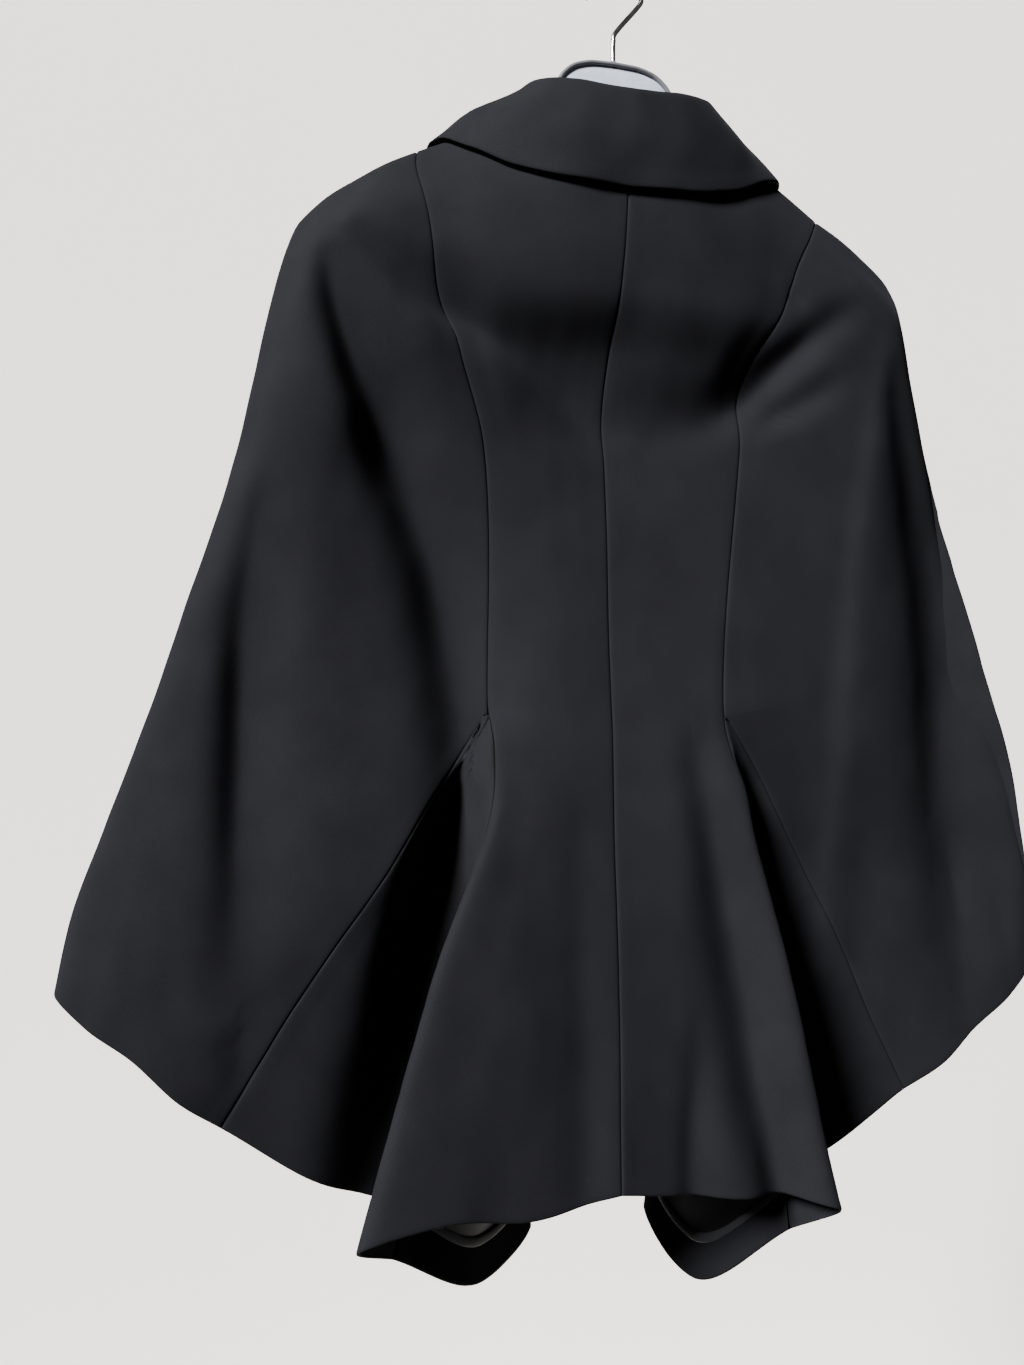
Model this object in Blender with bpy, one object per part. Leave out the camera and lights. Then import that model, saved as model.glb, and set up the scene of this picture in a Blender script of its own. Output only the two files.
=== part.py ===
"""Cape coat on a plain hanger.

The coat is one layer of wool cloth, cut as back panels, gussets, cape wings, fronts and a
turned-down collar. Its origin is the inside top of the hanger's hook. +Z is up, -Y is the
coat's back and +X is the right-hand side of a viewer who looks at that back.

Every panel hangs between guide lines that run from its top edge to its hem. A guide is a
short table with these columns:
    level   0 at the top edge, 1 at the waist, 2 at the hem
    across  distance from the coat's middle, mm
    depth   place along Y, mm
    height  place along Z, mm
    skew    how much further out the right side hangs than the mean of both sides, mm
"""
import math

import bmesh
import bpy
import numpy as np
from mathutils import Vector
from mathutils.bvhtree import BVHTree

MM = 0.001
CLOTH_WALL = 2.0 * MM
LINING_WALL = 1.0 * MM
COLLAR_WALL = 2.4 * MM
SEAM_GAP = 0.34 * MM
SHARP_ANGLE = 50.0
# Below this length the normals that meet at a point cancel, as at a ridge folded flat.
FOLDED_FLAT = 0.05

# How the hung coat differs from an even one: height, middle line x, turn towards the right
# (depth change from TURN_REACH out), tilt down on the right.
DRAPE = (
    (-120.0, -3.0, 0.0, 7.0),
    (-200.0, -8.0, 0.0, 7.0),
    (-300.0, -13.0, 0.0, 6.0),
    (-410.0, -11.0, 0.0, 5.0),
    (-510.0, -11.0, 0.0, 3.0),
    (-600.0, -14.0, 5.0, 4.0),
    (-680.0, -15.0, 9.0, 8.0),
    (-800.0, -18.0, 12.0, 7.0),
    (-880.0, -18.0, 12.0, 11.0),
)
TURN_REACH = 150.0
# The tilt sets in this far from the middle, above the first of the heights and below the second.
TILT_FROM = (100.0, 45.0)
TILT_HEIGHTS = (500.0, 650.0)
TILT_WIDTH = 40.0

LEVELS = (0.0, 0.05, 0.10, 0.16, 0.23, 0.31, 0.38, 0.45, 0.54, 0.64, 0.76, 0.88, 1.0,
          1.02, 1.10, 1.22, 1.34, 1.46, 1.58, 1.70, 1.80, 1.90, 2.0)
WAIST_ROW = LEVELS.index(1.0)

# Columns of each panel between one guide line and the next, from the centre back round.
BACK_STEPS = (2, 3, 2, 3)
GUSSET_STEPS = (2, 3, 3, 2, 2)
WING_STEPS = (2, 2, 2, 3)
FRONT_STEPS = (3, 2, 2, 2, 2)

CENTRE_BACK = (
    (0.00, 0, -45, -145, 0),
    (0.06, 0, -46, -153, 0),
    (0.14, 0, -47, -168, 0),
    (0.30, 0, -48, -207, 0),
    (0.42, 0, -44, -243, 0),
    (0.54, 0, -26, -280, 0),
    (0.70, 0, -13, -340, 0),
    (0.85, 0, -15, -422, 0),
    (1.00, 0, -22, -508, 0),
    (1.20, 0, -31, -570, 0),
    (1.50, 0, -42, -660, 0),
    (2.00, 0, -55, -790, 0),
)
BACK_INNER = (
    (0.00, 45, -37, -138, 0),
    (0.06, 43, -42, -147, 0),
    (0.14, 42, -46, -163, 0),
    (0.30, 42, -48, -205, 0),
    (0.42, 40, -46, -245, 0),
    (0.54, 36, -30, -282, 0),
    (0.70, 32, -15, -340, 0),
    (0.85, 29, -16, -422, 0),
    (1.00, 28, -24, -508, 0),
    (1.20, 32, -33, -569, 0),
    (1.50, 41, -42, -659, 0),
    (2.00, 55, -50, -798, 0),
)
BACK_MIDDLE = (
    (0.00, 75, 0, -124, 0),
    (0.06, 76, -9, -127, 2),
    (0.14, 78, -26, -145, 2),
    (0.30, 82, -42, -202, 1),
    (0.42, 79, -43, -246, 0),
    (0.54, 68, -31, -283, 0),
    (0.70, 60, -17, -340, 2),
    (0.85, 55, -17, -421, 1),
    (1.00, 53, -25, -508, 0),
    (1.20, 60, -37, -568, 2),
    (1.50, 76, -50, -661, 0),
    (2.00, 104, -64, -797, -3),
)
BACK_FOLD = (
    (0.00, 110, 0, -140, 4),
    (0.06, 110, -9, -143, 4),
    (0.14, 109, -20, -157, 3),
    (0.30, 107, -36, -203, 1),
    (0.42, 101, -38, -245, 0),
    (0.54, 86, -28, -282, 0),
    (0.70, 76, -18, -340, 5),
    (0.85, 70, -18, -421, 2),
    (1.00, 68, -25, -508, -1),
    (1.20, 79, -38, -567, 5),
    (1.50, 111, -52, -660, 0),
    (2.00, 149, -63, -806, -6),
)
PRINCESS_SEAM = (
    (0.00, 140, 0, -157, 12),
    (0.06, 139, -9, -160, 10),
    (0.14, 136, -18, -173, 6),
    (0.30, 124, -33, -206, 1),
    (0.42, 114, -35, -244, 0),
    (0.54, 97, -27, -281, -1),
    (0.70, 86, -18, -340, 6),
    (0.85, 79, -18, -421, 3),
    (1.00, 76, -24, -508, -1),
    (1.20, 84, -35, -566, 5),
    (1.50, 105, -34, -662, 1),
    (2.00, 129, -26, -828, -2),
)
GUSSET_LOW = (
    (1.00, 76, -24, -508, -1),
    (1.10, 83, -27, -537, -2),
    (1.20, 86, -25, -567, 4),
    (1.50, 90, -10, -668, 1),
    (2.00, 77, 20, -871, 5),
)
GUSSET_PLEAT = (
    (1.00, 76, -24, -508, -1),
    (1.10, 86, -24, -536, -1),
    (1.20, 88, -13, -566, 3),
    (1.50, 75, 17, -665, 4),
    (2.00, 42, 58, -842, 16),
)
GUSSET_TURN = (
    (1.00, 76, -24, -508, -1),
    (1.10, 89, -22, -536, 0),
    (1.20, 97, -6, -565, 2),
    (1.50, 100, 22, -652, 2),
    (2.00, 98, 48, -831, 6),
)
GUSSET_SIDE = (
    (1.00, 76, -24, -508, -1),
    (1.10, 92, -21, -535, 0),
    (1.20, 105, -12, -562, 1),
    (1.50, 132, 0, -642, 1),
    (2.00, 165, 12, -799, 3),
)
DIAGONAL_SEAM = (
    (1.00, 76, -24, -508, -1),
    (1.20, 112, -16, -561, 2),
    (1.40, 142, -10, -611, 4),
    (1.60, 172, -6, -658, 3),
    (1.80, 201, -3, -708, 0),
    (2.00, 228, 0, -755, 0),
)
WING_INNER = (
    (0.00, 155.5, 0, -167.5, 11.8),
    (0.06, 157, -9, -170, 10),
    (0.14, 157, -19, -183, 5),
    (0.30, 151, -34, -214, 1),
    (0.42, 146, -37, -249, 0),
    (0.54, 140, -34, -289, 0),
    (0.70, 137, -25, -345, 2),
    (0.85, 141, -20, -412, 1),
    (1.00, 146, -18, -492, 0),
    (1.50, 200, -13, -612, 2),
    (2.00, 253, -8, -737, 0),
)
WING_MIDDLE = (
    (0.00, 171, 0, -178, 11.5),
    (0.06, 174, -9, -182, 10),
    (0.14, 177, -18, -196, 8),
    (0.30, 179, -32, -226, 5),
    (0.54, 182, -34, -304, 4),
    (0.85, 195, -24, -412, 3),
    (1.00, 204, -20, -478, 3),
    (1.50, 242, -15, -592, 2),
    (2.00, 278, -10, -713, 0),
)
WING_OUTER = (
    (0.00, 188.4, 0, -191, 11),
    (0.06, 193, -7, -196, 10),
    (0.14, 197, -14, -210, 9),
    (0.30, 202, -24, -242, 7),
    (0.54, 216, -26, -318, 7),
    (0.85, 237, -19, -416, 7),
    (1.00, 249, -16, -470, 6),
    (1.50, 280, -12, -578, 5),
    (2.00, 304, -9, -694, 0),
)
WING_FOLD = (
    (0.00, 202, 0, -204, 11),
    (0.06, 208, 0, -211, 10),
    (0.14, 213, 0, -228, 9),
    (0.30, 219, -1, -264, 8),
    (0.54, 233, -2, -334, 9),
    (0.85, 259, -3, -424, 9),
    (1.00, 273, -3, -468, 9),
    (1.50, 305, -2, -575, 8),
    (1.80, 319, -1, -637, 4),
    (2.00, 321, 0, -676, 0),
)
FRONT_SEAM = (
    (0.00, 140, 0, -157, 12),
    (0.06, 139, 9, -160, 10),
    (0.14, 137, 17, -173, 6),
    (0.30, 128, 30, -208, 1),
    (0.54, 118, 42, -285, 0),
    (0.85, 108, 50, -415, 0),
    (1.00, 104, 56, -495, 0),
    (1.50, 112, 80, -650, 0),
    (2.00, 122, 98, -800, 0),
)
FRONT_SHOULDER = (
    (0.00, 110, 0, -140, 4),
    (0.06, 110, 9, -143, 4),
    (0.14, 108, 18, -157, 3),
    (0.30, 100, 33, -200, 0),
    (0.54, 94, 44, -285, 0),
    (0.85, 86, 53, -415, 0),
    (1.00, 83, 59, -495, 0),
    (1.50, 89, 83, -650, 0),
    (2.00, 97, 101, -800, 0),
)
FRONT_NECK = (
    (0.00, 75, 0, -124, 0),
    (0.06, 76, 9, -127, 2),
    (0.14, 76, 20, -144, 0),
    (0.30, 72, 36, -196, 0),
    (0.54, 68, 47, -285, 0),
    (0.85, 62, 57, -415, 0),
    (1.00, 60, 63, -495, 0),
    (1.50, 64, 87, -650, 0),
    (2.00, 70, 105, -800, 0),
)
FRONT_INNER = (
    (0.00, 48, 33, -152, 0),
    (0.06, 47, 37, -160, 0),
    (0.14, 45, 41, -174, 0),
    (0.30, 42, 48, -214, 0),
    (0.54, 38, 55, -290, 0),
    (0.85, 34, 63, -415, 0),
    (1.00, 33, 68, -495, 0),
    (1.50, 35, 91, -650, 0),
    (2.00, 38, 108, -800, 0),
)
CENTRE_FRONT = (
    (0.00, -15, 54, -178, 0),
    (0.14, -15, 57, -197, 0),
    (0.30, -15, 60, -230, 0),
    (0.54, -15, 63, -298, 0),
    (0.85, -15, 69, -417, 0),
    (1.00, -15, 73, -495, 0),
    (1.50, -15, 95, -650, 0),
    (2.00, -15, 111, -800, 0),
)
FRONT_LAP_STEP = 3.2
FRONT_LAP_WIDTH = (14.0, 42.0)

# The front wing hangs between the front seam and the wing's fold, bellied forwards.
FRONT_WING_SHARES = (0.25, 0.50, 0.78)
FRONT_WING_BELLY = 16.0
FRONT_SHOULDER_ROUND = 15.0
SHOULDER_LEVEL = 0.3
BELLY_LEVEL = 0.5

# Columns: place along the half collar (0 centre back, 1 front end), then the roll line and
# the fall's edge, each as across, depth and height.
COLLAR_STATIONS = (
    (0.00, 0, -52, -113, 0, -52, -181),
    (0.16, 24, -50, -110, 40, -51, -179),
    (0.30, 47, -42, -105, 74, -44, -170),
    (0.42, 61, -24, -102, 100, -28, -154),
    (0.52, 65, -2, -103, 121, -6, -141),
    (0.58, 64, 10, -107, 124, 8, -143),
    (0.68, 57, 28, -117, 115, 30, -170),
    (0.84, 34, 52, -142, 88, 52, -214),
    (1.00, 4, 66, -166, 52, 66, -250),
)
COLLAR_ROLL = 4.0
COLLAR_ROLL_DROP = 3.6
COLLAR_STAND = 4.0
COLLAR_CLEARANCE = 4.8
COLLAR_BELLY = 2.5
COLLAR_SEAT = 0.6
COLLAR_END = 20.0
COLLAR_STEPS = (1, 1, 1, 2, 4, 4, 2, 1, 1, 1)
COLLAR_ROWS = (4, 2, 1, 1, 2, 1)

# Roundness of a section: 1 is an ellipse, less is flatter on the broad faces.
HANGER_HALF_THICKNESS = 5.5
HANGER_TIP = 196.0
HANGER_ROUNDNESS = (0.8, 1.0)
HANGER_SEAT_GAP = 0.41 * MM
PLATE_HALF_THICKNESS = 4.675
PLATE_ROUNDNESS = 0.45
# Columns: across, top height where no cloth lies on it, bottom height.
HANGER_PLATE = (
    (0, -70.0, -132.0),
    (14, -70.6, -132.6),
    (26, -73.5, -134.5),
    (35, -80.0, -137.5),
    (41, -90.0, -141.0),
    (46, -108.0, -145.5),
    (53, -123.0, -149.0),
    (61, -129.0, -152.5),
    (67, -131.0, -154.0),
)
HANGER_ARM_DEPTH = (26.0, 13.0)
HANGER_SIDES = 12

HOOK_WIRE = 3.6
HOOK_RADIUS = 20.0
# The stem's points: x and height above the plate's top.
HOOK_STEM = ((0.0, 0.3), (0.0, 11.0), (0.3, 17.0), (2.2, 24.0))
HOOK_ARC = (-18.0, 205.0)
HOOK_SIDES = 3
HOOK_STEPS = 18


def smooth_line(keys, values, place):
    """Height of a smooth line through the keys that never overshoots them."""
    keys = np.asarray(keys, float)
    values = np.asarray(values, float)
    steps = np.diff(keys)
    slopes = np.diff(values) / steps
    tangents = np.zeros(len(keys))
    tangents[0] = slopes[0]
    tangents[-1] = slopes[-1]
    for i in range(1, len(keys) - 1):
        before, after = slopes[i - 1], slopes[i]
        if before * after > 0:
            weight_a = 2 * steps[i] + steps[i - 1]
            weight_b = steps[i] + 2 * steps[i - 1]
            tangents[i] = (weight_a + weight_b) / (weight_a / before + weight_b / after)
    place = min(max(place, keys[0]), keys[-1])
    k = int(min(np.searchsorted(keys, place, side="right") - 1, len(keys) - 2))
    t = (place - keys[k]) / steps[k]
    start = values[k] * (1 + 2 * t) * (1 - t) ** 2 + steps[k] * tangents[k] * t * (1 - t) ** 2
    end = values[k + 1] * t * t * (3 - 2 * t) + steps[k] * tangents[k + 1] * t * t * (t - 1)
    return start + end


def fade(value, low, high):
    """0 below low, 1 above high, smooth between."""
    t = min(max((value - low) / (high - low), 0.0), 1.0)
    return t * t * (3 - 2 * t)


def hung(side, across, depth, height, skew):
    """Place of a pattern point on the left (-1) or right (+1) half of the hung coat."""
    heights = [-row[0] for row in DRAPE]
    middle = smooth_line(heights, [row[1] for row in DRAPE], -height)
    turn = smooth_line(heights, [row[2] for row in DRAPE], -height)
    tilt = smooth_line(heights, [row[3] for row in DRAPE], -height)
    out = across + side * skew
    x = middle + side * out
    y = depth + side * turn * min(max(out, 0.0) / TURN_REACH, 1.0)
    tilted_from = TILT_FROM[0] + (TILT_FROM[1] - TILT_FROM[0]) * fade(-height, *TILT_HEIGHTS)
    z = height - side * tilt * fade(across, tilted_from, tilted_from + TILT_WIDTH)
    return np.array((x, y, z)) * MM


def guide_point(table, side, level):
    """Point on a guide line at a level."""
    keys = [row[0] for row in table]
    across, depth, height, skew = (
        smooth_line(keys, [row[column] for row in table], level) for column in (1, 2, 3, 4))
    return hung(side, across, depth, height, skew)


def through(points, counts, before=None, after=None):
    """Points of a smooth curve through the guide points, counts[i] steps in each interval.

    before and after are points that the curve would go on to, where it turns round a fold.
    """
    points = [np.asarray(p, float) for p in points]
    before = 2 * points[0] - points[1] if before is None else before
    after = 2 * points[-1] - points[-2] if after is None else after
    ends = [before] + points + [after]
    result = [points[0]]
    for i, count in enumerate(counts):
        a, b, c, d = ends[i:i + 4]
        for step in range(1, count + 1):
            t = step / count
            result.append(0.5 * (2 * b + (c - a) * t + (2 * a - 5 * b + 4 * c - d) * t * t
                                 + (3 * b - a - 3 * c + d) * t ** 3))
    return result


def back_row(side, level):
    guides = (CENTRE_BACK, BACK_INNER, BACK_MIDDLE, BACK_FOLD, PRINCESS_SEAM)
    return through([guide_point(g, side, level) for g in guides], BACK_STEPS)


def gusset_row(side, level):
    guides = (PRINCESS_SEAM, GUSSET_LOW, GUSSET_PLEAT, GUSSET_TURN, GUSSET_SIDE, DIAGONAL_SEAM)
    return through([guide_point(g, side, level) for g in guides], GUSSET_STEPS)


def wing_edge(side, level):
    """The back wing's inner edge: the princess seam to the waist, then the diagonal seam."""
    return guide_point(PRINCESS_SEAM if level <= 1.0 else DIAGONAL_SEAM, side, level)


def front_wing_guides(side, level):
    """The front wing's inside guide points, from the wing's fold towards the front seam."""
    seam = guide_point(FRONT_SEAM, side, level)
    fold = guide_point(WING_FOLD, side, level)
    ridge_share = 1 - fade(level, 0.0, SHOULDER_LEVEL)
    top_share = min(level / SHOULDER_LEVEL, 1.0)
    ridge_seam = guide_point(FRONT_SEAM, side, 0.0)
    ridge_fold = guide_point(WING_FOLD, side, 0.0)
    belly = FRONT_WING_BELLY * fade(level, 0.0, BELLY_LEVEL)
    points = []
    for share, top in zip(FRONT_WING_SHARES, (WING_INNER, WING_MIDDLE, WING_OUTER)):
        straight = ridge_seam * (1 - share) + ridge_fold * share
        ridge = guide_point(top, side, 0.0) - straight
        point = seam * (1 - share) + fold * share + ridge * ridge_share
        point[1] += belly * math.sin(math.pi * share) * MM
        point[1] += FRONT_SHOULDER_ROUND * share * math.sin(math.pi * top_share) * MM
        points.append(point)
    return points[::-1]


def wing_row(side, level):
    points = [wing_edge(side, level)]
    points += [guide_point(g, side, level) for g in (WING_INNER, WING_MIDDLE, WING_OUTER)]
    points.append(guide_point(WING_FOLD, side, level))
    return through(points, WING_STEPS, after=front_wing_guides(side, level)[0])


def front_wing_row(side, level):
    points = [guide_point(WING_FOLD, side, level), *front_wing_guides(side, level),
              guide_point(FRONT_SEAM, side, level)]
    return through(points, WING_STEPS[::-1], before=guide_point(WING_OUTER, side, level))


def front_row(side, level):
    guides = (FRONT_SEAM, FRONT_SHOULDER, FRONT_NECK, FRONT_INNER)
    lap = tuple((level, -across, *rest) for level, across, *rest in CENTRE_FRONT)
    row = through([guide_point(g, side, level) for g in (*guides, lap, CENTRE_FRONT)], FRONT_STEPS)
    if side < 0:
        middle = hung(1, 0, 0, row[0][2] / MM, 0)[0]
        for point in row:
            reach = (middle - point[0]) / MM
            point[1] -= FRONT_LAP_STEP * MM * (1 - fade(reach, *FRONT_LAP_WIDTH))
    return row


def clear_scene():
    for item in list(bpy.data.objects):
        bpy.data.objects.remove(item, do_unlink=True)


def finish(name, shade, roughness, metallic=0.0):
    """A plain Principled material."""
    material = bpy.data.materials.new(name)
    material.use_nodes = True
    bsdf = material.node_tree.nodes["Principled BSDF"]
    bsdf.inputs["Base Color"].default_value = (*shade, 1.0)
    bsdf.inputs["Roughness"].default_value = roughness
    bsdf.inputs["Metallic"].default_value = metallic
    return material


def add_object(name, bm, material):
    mesh = bpy.data.meshes.new(name)
    bm.to_mesh(mesh)
    bm.free()
    mesh.shade_smooth()
    mesh.set_sharp_from_angle(angle=math.radians(SHARP_ANGLE))
    mesh.materials.append(material)
    item = bpy.data.objects.new(name, mesh)
    bpy.context.scene.collection.objects.link(item)
    return item


def sheet_face(bm, grid):
    """One skin of a wall: a grid of rows and columns whose vertices take the given places."""
    rows, columns = len(grid), len(grid[0])
    made = bmesh.ops.create_grid(bm, x_segments=columns - 1, y_segments=rows - 1, size=1.0)
    placed = {}
    for vert in made["verts"]:
        column = round((vert.co.x + 1) / 2 * (columns - 1))
        row = round((vert.co.y + 1) / 2 * (rows - 1))
        vert.co = grid[row][column]
        placed[row, column] = vert
    return placed


def wall(outer, inner):
    """Closed wall between two skins. Walls that meet along a seam get matching rims."""
    bm = bmesh.new()
    outside = sheet_face(bm, outer)
    inside = sheet_face(bm, inner)
    rows, columns = len(outer), len(outer[0])
    rims = [[(0, j) for j in range(columns)], [(rows - 1, j) for j in range(columns)],
            [(i, 0) for i in range(rows)], [(i, columns - 1) for i in range(rows)]]
    for rim in rims:
        for a, b in zip(rim, rim[1:]):
            if (outside[a].co.z, -abs(outside[a].co.x)) < (outside[b].co.z, -abs(outside[b].co.x)):
                a, b = b, a
            bm.faces.new((outside[a], outside[b], inside[b]))
            bm.faces.new((outside[a], inside[b], inside[a]))
    bmesh.ops.recalc_face_normals(bm, faces=bm.faces)
    return bm


def grid_normals(grid, side):
    """Unit normals of a grid, towards the coat's outside."""
    points = np.array(grid)
    down = np.gradient(points, axis=0)
    along = np.gradient(points, axis=1)
    normals = np.cross(down, along) * side
    return normals / np.linalg.norm(normals, axis=2, keepdims=True)


def point_key(point):
    return tuple(np.round(np.asarray(point) / MM, 2))


def shared_normals(panels):
    """Normals that neighbouring panels agree on where they meet."""
    sums = {}
    for grid, side in panels.values():
        for points, normals in zip(grid, grid_normals(grid, side)):
            for point, normal in zip(points, normals):
                key = point_key(point)
                sums[key] = sums.get(key, np.zeros(3)) + normal
    result = {}
    for name, (grid, side) in panels.items():
        found = np.array([[sums[point_key(p)] for p in row] for row in grid])
        lengths = np.linalg.norm(found, axis=2)
        for row, column in zip(*np.where(lengths < FOLDED_FLAT)):
            near_row = row + (1 if row == 0 else -1)
            near_column = column + (1 if column == 0 else -1)
            found[row, column] = found[near_row, column] + found[row, near_column]
        result[name] = found / np.linalg.norm(found, axis=2, keepdims=True)
    return result


def inset(grid, gap):
    """The grid with its four edges drawn in by half the seam gap."""
    points = np.array(grid)
    trimmed = points.copy()
    for axis in (0, 1):
        for end, inside in ((0, 1), (-1, -2)):
            edge = np.take(points, end, axis=axis)
            step = np.take(points, inside, axis=axis) - edge
            length = np.linalg.norm(step, axis=1, keepdims=True)
            moved = gap / 2 * step / np.maximum(length, 1e-9)
            if axis == 0:
                trimmed[end] += moved
            else:
                trimmed[:, end] += moved
    return trimmed


def add_panel(name, grid, normals, material, thickness=CLOTH_WALL, lift=0.0):
    points = inset(grid, SEAM_GAP)
    normals = np.array(normals)
    outer = points + normals * (lift + thickness / 2)
    inner = points + normals * (lift - thickness / 2)
    return add_object(name, wall(outer, inner), material)


def coat_panels():
    """Middle surface of every panel, as rows of points, with its side."""
    panels = {}
    for word, side in (("left", -1), ("right", 1)):
        panels[f"back_{word}"] = ([back_row(side, v) for v in LEVELS], side)
        panels[f"gusset_{word}"] = ([gusset_row(side, v) for v in LEVELS[WAIST_ROW + 1:]], side)
        panels[f"wing_back_{word}"] = ([wing_row(side, v) for v in LEVELS], side)
        panels[f"wing_front_{word}"] = ([front_wing_row(side, v) for v in LEVELS], side)
        panels[f"front_{word}"] = ([front_row(side, v) for v in LEVELS], side)
        match_shoulders(panels[f"back_{word}"][0], panels[f"front_{word}"][0])
    return panels


def match_shoulders(back, front):
    """Back and front meet along the shoulder, from the princess seam in to the neck."""
    for column in range(sum(FRONT_STEPS[:2]) + 1):
        meet = (back[0][-1 - column] + front[0][column]) / 2
        back[0][-1 - column] = meet
        front[0][column] = meet


def denser(line, counts):
    """The line of point and normal pairs with counts[i] even steps in its interval i."""
    result = [line[0]]
    for (p, n), (q, m), count in zip(line, line[1:], counts):
        for step in range(1, count + 1):
            share = step / count
            result.append((p * (1 - share) + q * share, n * (1 - share) + m * share))
    return result


def collar_points(panels, normals):
    """Middle surface of the collar: rows from the fall's edge over the roll to the neck seam."""
    corners, faces = [], []
    for grid, side in panels.values():
        start = len(corners)
        corners += [tuple(point) for row in grid for point in row]
        wide = len(grid[0])
        for i in range(len(grid) - 1):
            for j in range(wide - 1):
                a = start + i * wide + j
                faces.append((a, a + 1, a + wide + 1, a + wide))
    body = BVHTree.FromPolygons(corners, faces)

    def lifted(point, least, always):
        spot = body.find_nearest(Vector(point))[0]
        away = Vector(point) - spot
        if always or away.length < least:
            return np.array(spot + away.normalized() * least)
        return point

    sections = []
    for side, word in ((-1, "left"), (1, "right")):
        back, front = panels[f"back_{word}"][0][0], panels[f"front_{word}"][0][0]
        back_up, front_up = normals[f"back_{word}"][0], normals[f"front_{word}"][0]
        neck = sum(BACK_STEPS[:2])
        first = sum(FRONT_STEPS[:2])
        line = [(p, n) for p, n in zip(back[:neck + 1], back_up)]
        line += [(p, n) for p, n in zip(front[first + 1:-3], front_up[first + 1:-3])]
        middle = hung(side, 0.0, 0.0, front[-1][2] / MM, 0.0)[0]
        reach = side * (line[-1][0][0] - middle) - COLLAR_END * MM
        share = reach / (side * (line[-1][0][0] - front[-3][0]))
        line.append((line[-1][0] * (1 - share) + front[-3] * share, front_up[-3]))
        line = denser(line, COLLAR_STEPS)
        places = np.array([p for p, _ in line])
        runs = np.concatenate(([0.0], np.cumsum(np.linalg.norm(np.diff(places, axis=0), axis=1))))
        tangents = np.gradient(places, axis=0)
        half = []
        for (seam, out), run, tangent in zip(line, runs / runs[-1], tangents):
            keys = [row[0] for row in COLLAR_STATIONS]
            values = [smooth_line(keys, [row[k] for row in COLLAR_STATIONS], run) for k in range(1, 7)]
            roll = hung(side, *values[:3], 0.0)
            edge = lifted(hung(side, *values[3:], 0.0), COLLAR_CLEARANCE * MM, True)
            rise = np.cross(tangent, out) * side
            rise /= np.linalg.norm(rise)
            if rise[2] < 0:
                rise = -rise
            spread = edge - seam
            spread[2] = 0.0
            spread /= np.linalg.norm(spread)
            drop = np.array((0.0, 0.0, -COLLAR_ROLL_DROP * MM))
            roll_out = roll + spread * COLLAR_ROLL * MM + drop
            roll_in = roll - spread * COLLAR_ROLL * MM + drop
            middle = (edge + roll_out) / 2 + (spread + np.array((0, 0, 1.0))) * COLLAR_BELLY * MM
            guides = [edge, middle, roll_out, roll, roll_in, seam + rise * COLLAR_STAND * MM,
                      seam + rise * COLLAR_SEAT * MM]
            section = through(guides, COLLAR_ROWS)
            for k in range(1, sum(COLLAR_ROWS[:2]) + 1):
                section[k] = lifted(section[k], COLLAR_CLEARANCE * MM, False)
            half.append(section)
        sections.append(half)
    left, right = sections
    columns = left[::-1] + right[1:]
    return [[column[k] for column in columns] for k in range(len(columns[0]))]


def add_collar(panels, normals, material):
    grid = np.array(collar_points(panels, normals))
    out = grid_normals(grid, -1)
    outer = grid + out * COLLAR_WALL / 2
    inner = grid - out * COLLAR_WALL / 2
    return add_object("collar", wall(outer, inner), material)


def add_inside_pieces(word, grid, normals, wool, lining):
    """Hem facing and lining on the inside of the flute, where they can be seen."""
    last = sum(GUSSET_STEPS[:2])
    facing_rows = slice(len(grid) - 2, len(grid))
    lining_rows = slice(len(grid) - 4, len(grid) - 1)
    lift = -(CLOTH_WALL / 2 + SEAM_GAP + LINING_WALL / 2)
    for name, rows, material in (("facing", facing_rows, wool), ("lining", lining_rows, lining)):
        part = [row[:last + 1] for row in grid[rows]]
        out = [row[:last + 1] for row in normals[rows]]
        add_panel(f"{name}_{word}", part, out, material, LINING_WALL, lift)


def ring_points(top, bottom, half_thickness, roundness):
    """Upright section of the hanger: a rounded slab between its top and bottom points."""
    top, bottom = np.asarray(top), np.asarray(bottom)
    middle, reach = (top + bottom) / 2, (top - bottom) / 2
    points = []
    for k in range(HANGER_SIDES):
        turn = 2 * math.pi * k / HANGER_SIDES
        side = math.sin(turn)
        bulge = math.copysign(abs(side) ** roundness, side) if abs(side) > 1e-9 else 0.0
        points.append(middle + reach * math.cos(turn) + np.array((0.0, half_thickness * bulge, 0.0)))
    return points


def hanger_sections(panels, normals):
    """Sections from the left tip to the right tip. The arms' tops follow the shoulder seam."""
    halves = {}
    for word, side in (("left", -1), ("right", 1)):
        sections = []
        for across, top, bottom in HANGER_PLATE:
            sections.append(ring_points((side * across * MM, 0, top * MM),
                                        (side * across * MM, 0, bottom * MM),
                                        PLATE_HALF_THICKNESS * MM, PLATE_ROUNDNESS))
        line = []
        for name, start in ((f"back_{word}", sum(BACK_STEPS[:2]) + 1), (f"wing_back_{word}", 1)):
            grid = panels[name][0]
            line += list(zip(grid[0][start:], normals[name][0][start:]))
        line = [(p, n) for p, n in line if side * p[0] < HANGER_TIP * MM]
        for k, (point, out) in enumerate(line):
            along = k / (len(line) - 1)
            top = point - out * (CLOTH_WALL / 2 + HANGER_SEAT_GAP)
            deep = smooth_line((0, 1), HANGER_ARM_DEPTH, along)
            bottom = top - np.array((0.0, 0.0, deep * MM))
            roundness = smooth_line((0, 1), HANGER_ROUNDNESS, along)
            sections.append(ring_points(top, bottom, HANGER_HALF_THICKNESS * MM, roundness))
        halves[word] = sections
    return halves["left"][::-1] + halves["right"][1:]


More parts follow.
